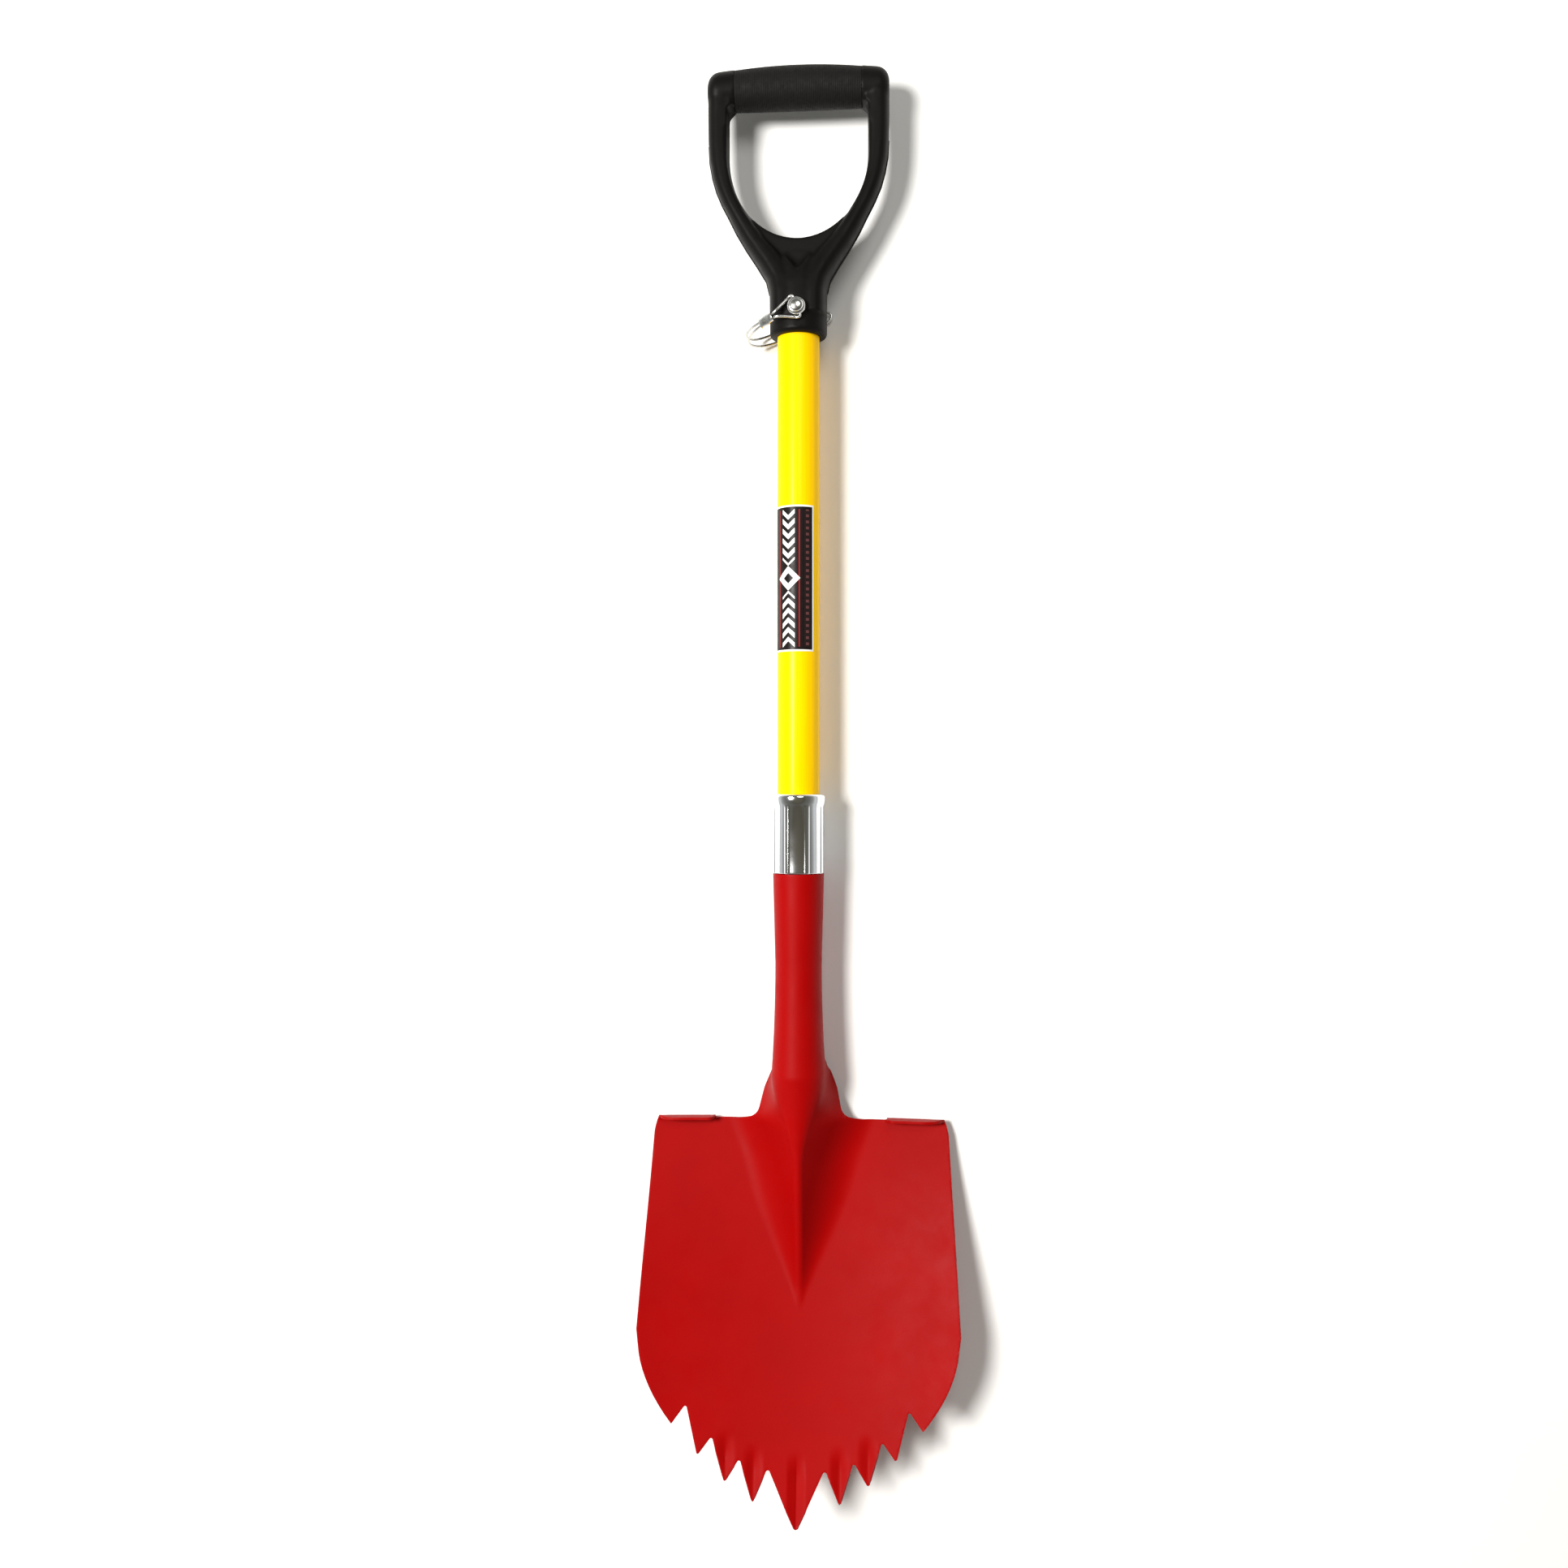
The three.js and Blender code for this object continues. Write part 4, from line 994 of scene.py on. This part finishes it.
def make_seam(side, foot, bar, half):
    """The thin parting line that stands along an arm's outer edge."""
    rings = []
    stations = arm_stations(foot, bar, half)
    for i in range(2, len(stations) - 1):
        here, ahead = stations[i][0], stations[i + 1][0]
        run = (ahead - here).normalized()
        out = Vector((-run.y, run.x)) if -run.y > 0 else Vector((run.y, -run.x))
        middle, across = here - out * 0.9, Vector((side * out.x, out.y))
        rings.append(oval(Vector((side * middle.x, middle.y)), across, 1.5, 0.75, 3.0, 16))
    return skinned("seam", rings)


def make_handle(sizes):
    foot = (HANDLE_LOW.y - TIP_Y) / MM
    bar = (BAR_Y - TIP_Y) / MM
    half = HANDLE_HIGH.x / MM
    barrel = sizes.barrel_radius / MM
    sleeve_end = SLEEVE_HIGH.x / MM
    pieces = [make_arm(side, foot, bar, half) for side in (1, -1)]
    pieces.append(make_web(foot))
    profile = [
        (0, foot), (barrel - 1.8, foot), (barrel, foot + 1.8), (barrel, foot + 27),
        (barrel - 0.6, foot + 36), (barrel - 2.4, foot + 46), (barrel - 5.6, foot + 56), (0, foot + 66),
    ]
    profile = [(r * MM, TIP_Y + y * MM) for r, y in profile]
    pieces.append(spun("barrel", profile, (0, 0, AXIS_Z), (0, 1, 0), 96))
    for side in (1, -1):
        pieces.append(make_corner(side, 14.4, sleeve_end, half))
        pieces.append(make_gusset(side, bar, sleeve_end))
    handle = joined(pieces)
    coarse, fine = 0.002, 0.0011
    handle.data.remesh_voxel_size = fine
    activate(handle)
    bpy.ops.object.voxel_remesh()
    for cutter in (make_pocket(foot, 1), make_pocket(foot, -1), make_opening(foot, bar)):
        cut(handle, cutter)
    activate(handle)
    bpy.ops.object.voxel_remesh()
    with_modifier(handle, "SMOOTH", factor=0.5, iterations=10)
    handle = joined([handle, *(make_seam(side, foot, bar, half) for side in (1, -1))])
    for vertex in handle.data.vertices:
        vertex.co.x = min(max(vertex.co.x, HANDLE_LOW.x), HANDLE_HIGH.x)
        vertex.co.y = min(vertex.co.y, HANDLE_HIGH.y)
        vertex.co.z = min(max(vertex.co.z, HANDLE_LOW.z), HANDLE_HIGH.z)
    centre = (0, 0, AXIS_Z)
    bore = rod(sizes.shaft_radius + BORE_PLAY, HANDLE_LOW.y - 0.01, SHAFT_HIGH.y + 0.0004)
    cut(handle, spun("bore", bore, centre, (0, 1, 0), 96))
    hole = rod(0.0055, -0.04, 0.04)
    cut(handle, spun("hole", hole, (0, PIN_Y, AXIS_Z), (0, 0, 1), 48))
    seat = rod(SEAT_RADIUS, -0.055, 0.055)
    cut(handle, spun("seat", seat, (0, BAR_Y, AXIS_Z), (1, 0, 0), 48))
    return handle


def make_sleeve(sizes):
    """The hand sleeve: a crowned tube with a fine rib every pitch."""
    half = SLEEVE_HIGH.x
    middle = sizes.sleeve_radius
    end = middle - 0.0013
    bore = SEAT_RADIUS
    count = int(2 * half / sizes.rib_pitch)
    profile = [(bore, -half), (end - 0.0008, -half)]
    for i in range(2 * count + 1):
        share = i / count - 1
        crown = mix(middle, end, share * share)
        profile.append((crown - (0.00016 if i % 2 else 0.0), share * (half - 0.0006)))
    profile += [(end - 0.0008, half), (bore, half), (bore, -half)]
    sleeve = spun("sleeve", profile, (0, BAR_Y, AXIS_Z), (1, 0, 0), 72)
    for vertex in sleeve.data.vertices:
        vertex.co.y -= 0.0011 * (vertex.co.x / half) ** 2
    return sleeve


# ---------------------------------------------------------------- lock pin and bail

def lock_point(sizes, out, along, up):
    """A point by the pin, in metres: out from the barrel, along the bail's pivot and up the pin."""
    c, s = math.cos(sizes.bail_tilt), math.sin(sizes.bail_tilt)
    return Vector((-out * c + along * s, PIN_Y - out * s - along * c, AXIS_Z + up))


def make_pin(sizes):
    foot = sizes.barrel_radius + BORE_PLAY
    top = foot + 0.005
    tip = PIN_LOW.z - AXIS_Z
    head = sizes.pin_head
    shank = sizes.pin_radius
    neck = -(sizes.barrel_radius + 0.0016)
    nose = 0.0024
    profile = [
        (0, tip), (nose - 0.001, tip), (nose - 0.0003, tip + 0.0003), (nose, tip + 0.001),
        (nose, neck - 0.0014),
        (shank, neck), (shank, foot), (head - 0.0006, foot), (head, foot + 0.0006), (head, top - 0.0018),
        (head - 0.0004, top - 0.0009), (head - 0.0012, top - 0.0002), (head - 0.0018, top),
    ]
    for i in range(9):
        angle = i / 8 * math.pi / 2
        profile.append((0.0046 * math.cos(angle), top + 0.0016 * math.sin(angle)))
    pin = spun("pin", profile, (0, PIN_Y, AXIS_Z), (0, 0, 1), 72)
    hole = rod(0.00125, -0.012, 0.012)
    pivot = lock_point(sizes, 0, 0, foot + CROSS_HOLE)
    direction = lock_point(sizes, 0, 1, 0) - lock_point(sizes, 0, 0, 0)
    cut(pin, spun("cross_hole", hole, pivot, direction, 32))
    bevelled(pin, 0.00015, 40)
    return pin


def bail_route(sizes):
    """The wire's middle line from one end in the head to the middle of its closed end, in millimetres."""
    barrel = sizes.barrel_radius / MM
    pivot = barrel + (BORE_PLAY + CROSS_HOLE) / MM
    side = sizes.pin_head / MM + 1.2
    strands = -(barrel + 6.6)
    overhang = 3.4
    far = -(barrel + overhang)
    reach = 39.5
    return [
        (0, 3.4, pivot), (0, side - 0.4, pivot), (1.4, side + 0.3, pivot - 0.1),
        (3.4, side - 0.5, pivot - 0.5),
        (15.8, 1.6, pivot - 0.1), (17.5, 1.3, pivot - 1.2), (28, 1.3, pivot - 7.95),
        (reach - 3.8, 1.8, pivot - 15.5), (reach, 2.2, pivot - 27), (reach - 3.4, 2.5, strands + 9),
        (reach - 11, 3.0, strands + 2), (18, 3.5, strands), (9, 3.8, strands), (0, 3.8, strands),
        (-10, 3.8, strands), (far + 4, 3.4, strands), (far + 1, 2.0, strands), (far, 0, strands),
    ]


def make_bail(sizes):
    half = bail_route(sizes)
    whole = half + [(out, -along, up) for out, along, up in reversed(half[:-1])]
    route = [lock_point(sizes, *(value * MM for value in place)) for place in whole]
    return wire("bail", route, sizes.wire_radius)


def make_crimp(sizes):
    """An oval sleeve squeezed at its middle round the two strands."""
    start, end = (Vector(place) for place in bail_route(sizes)[5:7])
    start.y = end.y = 0
    run = end - start
    up = Vector((-run.z, 0, run.x)).normalized()
    rings = []
    inner = []
    pinches = (
        (0.05, 0.93), (0.08, 1.0), (0.3, 1.0), (0.4, 0.9), (0.6, 0.9), (0.7, 1.0), (0.92, 1.0), (0.95, 0.93),
    )
    for share, pinch in pinches:
        centre = start + run * share
        ring, hole = [], []
        for i in range(36):
            angle = 2 * math.pi * i / 36
            c, s = math.cos(angle), math.sin(angle)
            place = centre + up * (2.0 * pinch * s) + Vector((0, 3.3 * c * (2 - pinch), 0))
            gap = centre + up * (1.02 * s) + Vector((0, 2.35 * c, 0))
            ring.append(lock_point(sizes, place.x * MM, place.y * MM, place.z * MM))
            hole.append(lock_point(sizes, gap.x * MM, gap.y * MM, gap.z * MM))
        rings.append(ring)
        inner.append(hole)
    return skinned("crimp", rings + inner[::-1], closed=True)


# ---------------------------------------------------------------- operators

class BuildBlade(bpy.types.Operator):
    """Press the blade: scoop, teeth, frog, treads and rolled socket"""
    bl_idname = "shovel.blade"
    bl_label = "Blade"

    def execute(self, context):
        scene = context.scene
        blade = make_blade(PressedSheet(scene.blade_sizes))
        coat = red_coat(scene.shovel_colours.coat)
        finish_piece(blade, "blade_sheet", "shovel", coat, ("blade",), 38)
        return {"FINISHED"}


class BuildRivets(bpy.types.Operator):
    """Drive the two socket rivets"""
    bl_idname = "shovel.rivets"
    bl_label = "Socket rivets"

    def execute(self, context):
        steel = turned_steel()
        for node in ("socket_rivet_upper", "socket_rivet_lower"):
            rivet = make_rivet(node)
            name = node.replace("socket_rivet", "rivet")
            finish_piece(rivet, name, "shovel", steel, (node,))
        return {"FINISHED"}


class BuildFerrule(bpy.types.Operator):
    """Turn the fluted ferrule"""
    bl_idname = "shovel.ferrule"
    bl_label = "Ferrule"

    def execute(self, context):
        scene = context.scene
        ferrule = make_ferrule(scene.shovel_sizes)
        chrome = bright_chrome(scene.shovel_colours.chrome)
        finish_piece(ferrule, "ferrule_collar", "shovel", chrome, ("ferrule",))
        return {"FINISHED"}


class BuildShaft(bpy.types.Operator):
    """Draw the tube and wrap its label"""
    bl_idname = "shovel.shaft"
    bl_label = "Shaft and label"

    def execute(self, context):
        scene = context.scene
        colours = scene.shovel_colours
        shaft = make_shaft(scene.shovel_sizes, PressedSheet(scene.blade_sizes))
        resin = yellow_resin(colours.resin)
        finish_piece(shaft, "shaft", "shovel", resin, ("shaft_tube",))
        label = make_label(scene.shovel_sizes)
        film = printed_label(colours.film)
        finish_piece(label, "label", "shovel", film, ("label_film",))
        return {"FINISHED"}


class BuildGrip(bpy.types.Operator):
    """Mould the D-grip and slide on its ribbed sleeve"""
    bl_idname = "shovel.grip"
    bl_label = "D-grip"

    def execute(self, context):
        scene = context.scene
        colours = scene.shovel_colours
        handle = make_handle(scene.shovel_sizes)
        plastic = moulded_plastic(colours.plastic)
        finish_piece(handle, "grip_body", "shovel", plastic, ("handle_frame",), 40)
        sleeve = make_sleeve(scene.shovel_sizes)
        rubber = ribbed_rubber(colours.rubber)
        finish_piece(sleeve, "ribbed_sleeve", "shovel", rubber, ("grip_sleeve",), 20)
        return {"FINISHED"}


class BuildLock(bpy.types.Operator):
    """Turn the lock pin, bend its bail and squeeze the crimp"""
    bl_idname = "shovel.lock"
    bl_label = "Lock pin and bail"

    def execute(self, context):
        scene = context.scene
        zinc = zinc_plate(scene.shovel_colours.zinc)
        pieces = (("pin", make_pin, "pin", "lock_pin"), ("bail", make_bail, "bail", "bail_wire"),
                  ("crimp", make_crimp, "bail", "bail_crimp"))
        for name, make, body, node in pieces:
            finish_piece(make(scene.shovel_sizes), name, body, zinc, (node,), 40)
        return {"FINISHED"}


class FinishHidden(bpy.types.Operator):
    """Give the pieces inside the shaft and the barrel their finishes"""
    bl_idname = "shovel.hidden"
    bl_label = "Inner pieces"

    def execute(self, context):
        wood, steel = dowel_wood(), turned_steel()
        zinc = zinc_plate(context.scene.shovel_colours.zinc)
        finishes = {
            "lower_core": wood, "upper_core": wood, "grip_core": steel,
            "pin_bush_front": zinc, "pin_bush_rear": zinc,
        }
        for node, material in finishes.items():
            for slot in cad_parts[node].material_slots:
                slot.material = material
        return {"FINISHED"}


class BuildStage(bpy.types.Operator):
    """Lay the floor and set the lights and the camera"""
    bl_idname = "shovel.stage"
    bl_label = "Stage"

    def execute(self, context):
        add_floor()
        add_lights()
        add_camera()
        return {"FINISHED"}


def add_floor():
    bpy.ops.object.select_all(action="DESELECT")
    bpy.ops.mesh.primitive_plane_add(size=16, location=(0, 0, FLOOR_Z - 0.0004))
    floor = bpy.context.object
    floor.name = "floor"
    floor.data.materials.append(pale_floor())


def add_area(name, place, aim, size, power, tint):
    light = bpy.data.lights.new(name, "AREA")
    light.shape = "DISK"
    light.size = size
    light.energy = power
    light.color = tint
    lamp = bpy.data.objects.new(name, light)
    lamp.location = place
    lamp.rotation_mode = "QUATERNION"
    lamp.rotation_quaternion = (Vector(aim) - Vector(place)).to_track_quat("-Z", "Y")
    bpy.context.scene.collection.objects.link(lamp)


def add_lights():
    scene = bpy.context.scene
    scene.view_settings.view_transform = "Standard"
    world = bpy.data.worlds.new("pale_room")
    world.use_nodes = True
    tree = world.node_tree
    direction = tree.nodes.new("ShaderNodeSeparateXYZ")
    tree.links.new(tree.nodes.new("ShaderNodeTexCoord").outputs["Generated"], direction.inputs[0])
    ramp = tree.nodes.new("ShaderNodeValToRGB")
    tree.links.new(direction.outputs["Z"], ramp.inputs[0])
    bands = (
        (0.0, 0.72, 0.74, 0.74), (0.15, 0.86, 0.87, 0.86), (0.36, 0.38, 0.38, 0.36),
        (0.62, 0.19, 0.185, 0.17), (0.8, 0.15, 0.145, 0.125), (0.87, 0.11, 0.1, 0.075),
        (1.0, 0.15, 0.135, 0.1),
    )
    while len(ramp.color_ramp.elements) < len(bands):
        ramp.color_ramp.elements.new(0.5)
    for element, (place, *tint) in zip(ramp.color_ramp.elements, bands):
        element.position = place
        element.color = (*tint, 1.0)
    tree.links.new(ramp.outputs[0], tree.nodes["Background"].inputs["Color"])
    tree.nodes["Background"].inputs["Strength"].default_value = 0.83
    scene.world = world
    add_area("window", (-1.15, 0.3, 2.1), (0, -0.05, 0), 0.75, 88.0, (1.0, 0.985, 0.955))
    add_area("ceiling", (0.5, 1.2, 2.4), (0, 0, 0), 1.2, 16.0, (1.0, 0.99, 0.97))


def add_camera():
    """Above the shovel, a little to its right, with the shaft upright in the view."""
    camera = bpy.data.cameras.new("camera")
    camera.sensor_width = 36
    camera.lens = 33.75
    camera.clip_start, camera.clip_end = 0.01, 50
    viewer = bpy.data.objects.new("camera", camera)
    lean = math.radians(4.5)
    target = Vector((-0.0104, 0.0027, AXIS_Z))
    away = Vector((math.sin(lean), 0, math.cos(lean)))
    viewer.location = target + away * 1.05
    across = Vector((0, 1, 0)).cross(away).normalized()
    viewer.rotation_euler = Matrix((across, away.cross(across), away)).transposed().to_euler()
    bpy.context.scene.collection.objects.link(viewer)
    bpy.context.scene.camera = viewer


class ShovelPanel(bpy.types.Panel):
    """Buttons that build the shovel piece by piece"""
    bl_idname = "VIEW3D_PT_shovel"
    bl_label = "Shovel"
    bl_space_type = "VIEW_3D"
    bl_region_type = "UI"
    bl_category = "Shovel"

    def draw(self, context):
        for operator in OPERATORS:
            self.layout.operator(operator.bl_idname)


OPERATORS = (
    BuildBlade, BuildRivets, BuildFerrule, BuildShaft, BuildGrip, BuildLock, FinishHidden, BuildStage,
)
GROUPS = {"blade_sizes": BladeSizes, "shovel_sizes": ShovelSizes, "shovel_colours": ShovelColours}


def register():
    for group in GROUPS.values():
        bpy.utils.register_class(group)
    for name, group in GROUPS.items():
        setattr(bpy.types.Scene, name, bpy.props.PointerProperty(type=group))
    for operator in OPERATORS:
        bpy.utils.register_class(operator)
    bpy.utils.register_class(ShovelPanel)


def unregister():
    bpy.utils.unregister_class(ShovelPanel)
    for operator in reversed(OPERATORS):
        bpy.utils.unregister_class(operator)
    for name in GROUPS:
        delattr(bpy.types.Scene, name)
    for group in reversed(GROUPS.values()):
        bpy.utils.unregister_class(group)


def main():
    register()
    for operator in OPERATORS:
        family, name = operator.bl_idname.split(".")
        getattr(getattr(bpy.ops, family), name)()


if __name__ == "__main__":
    main()
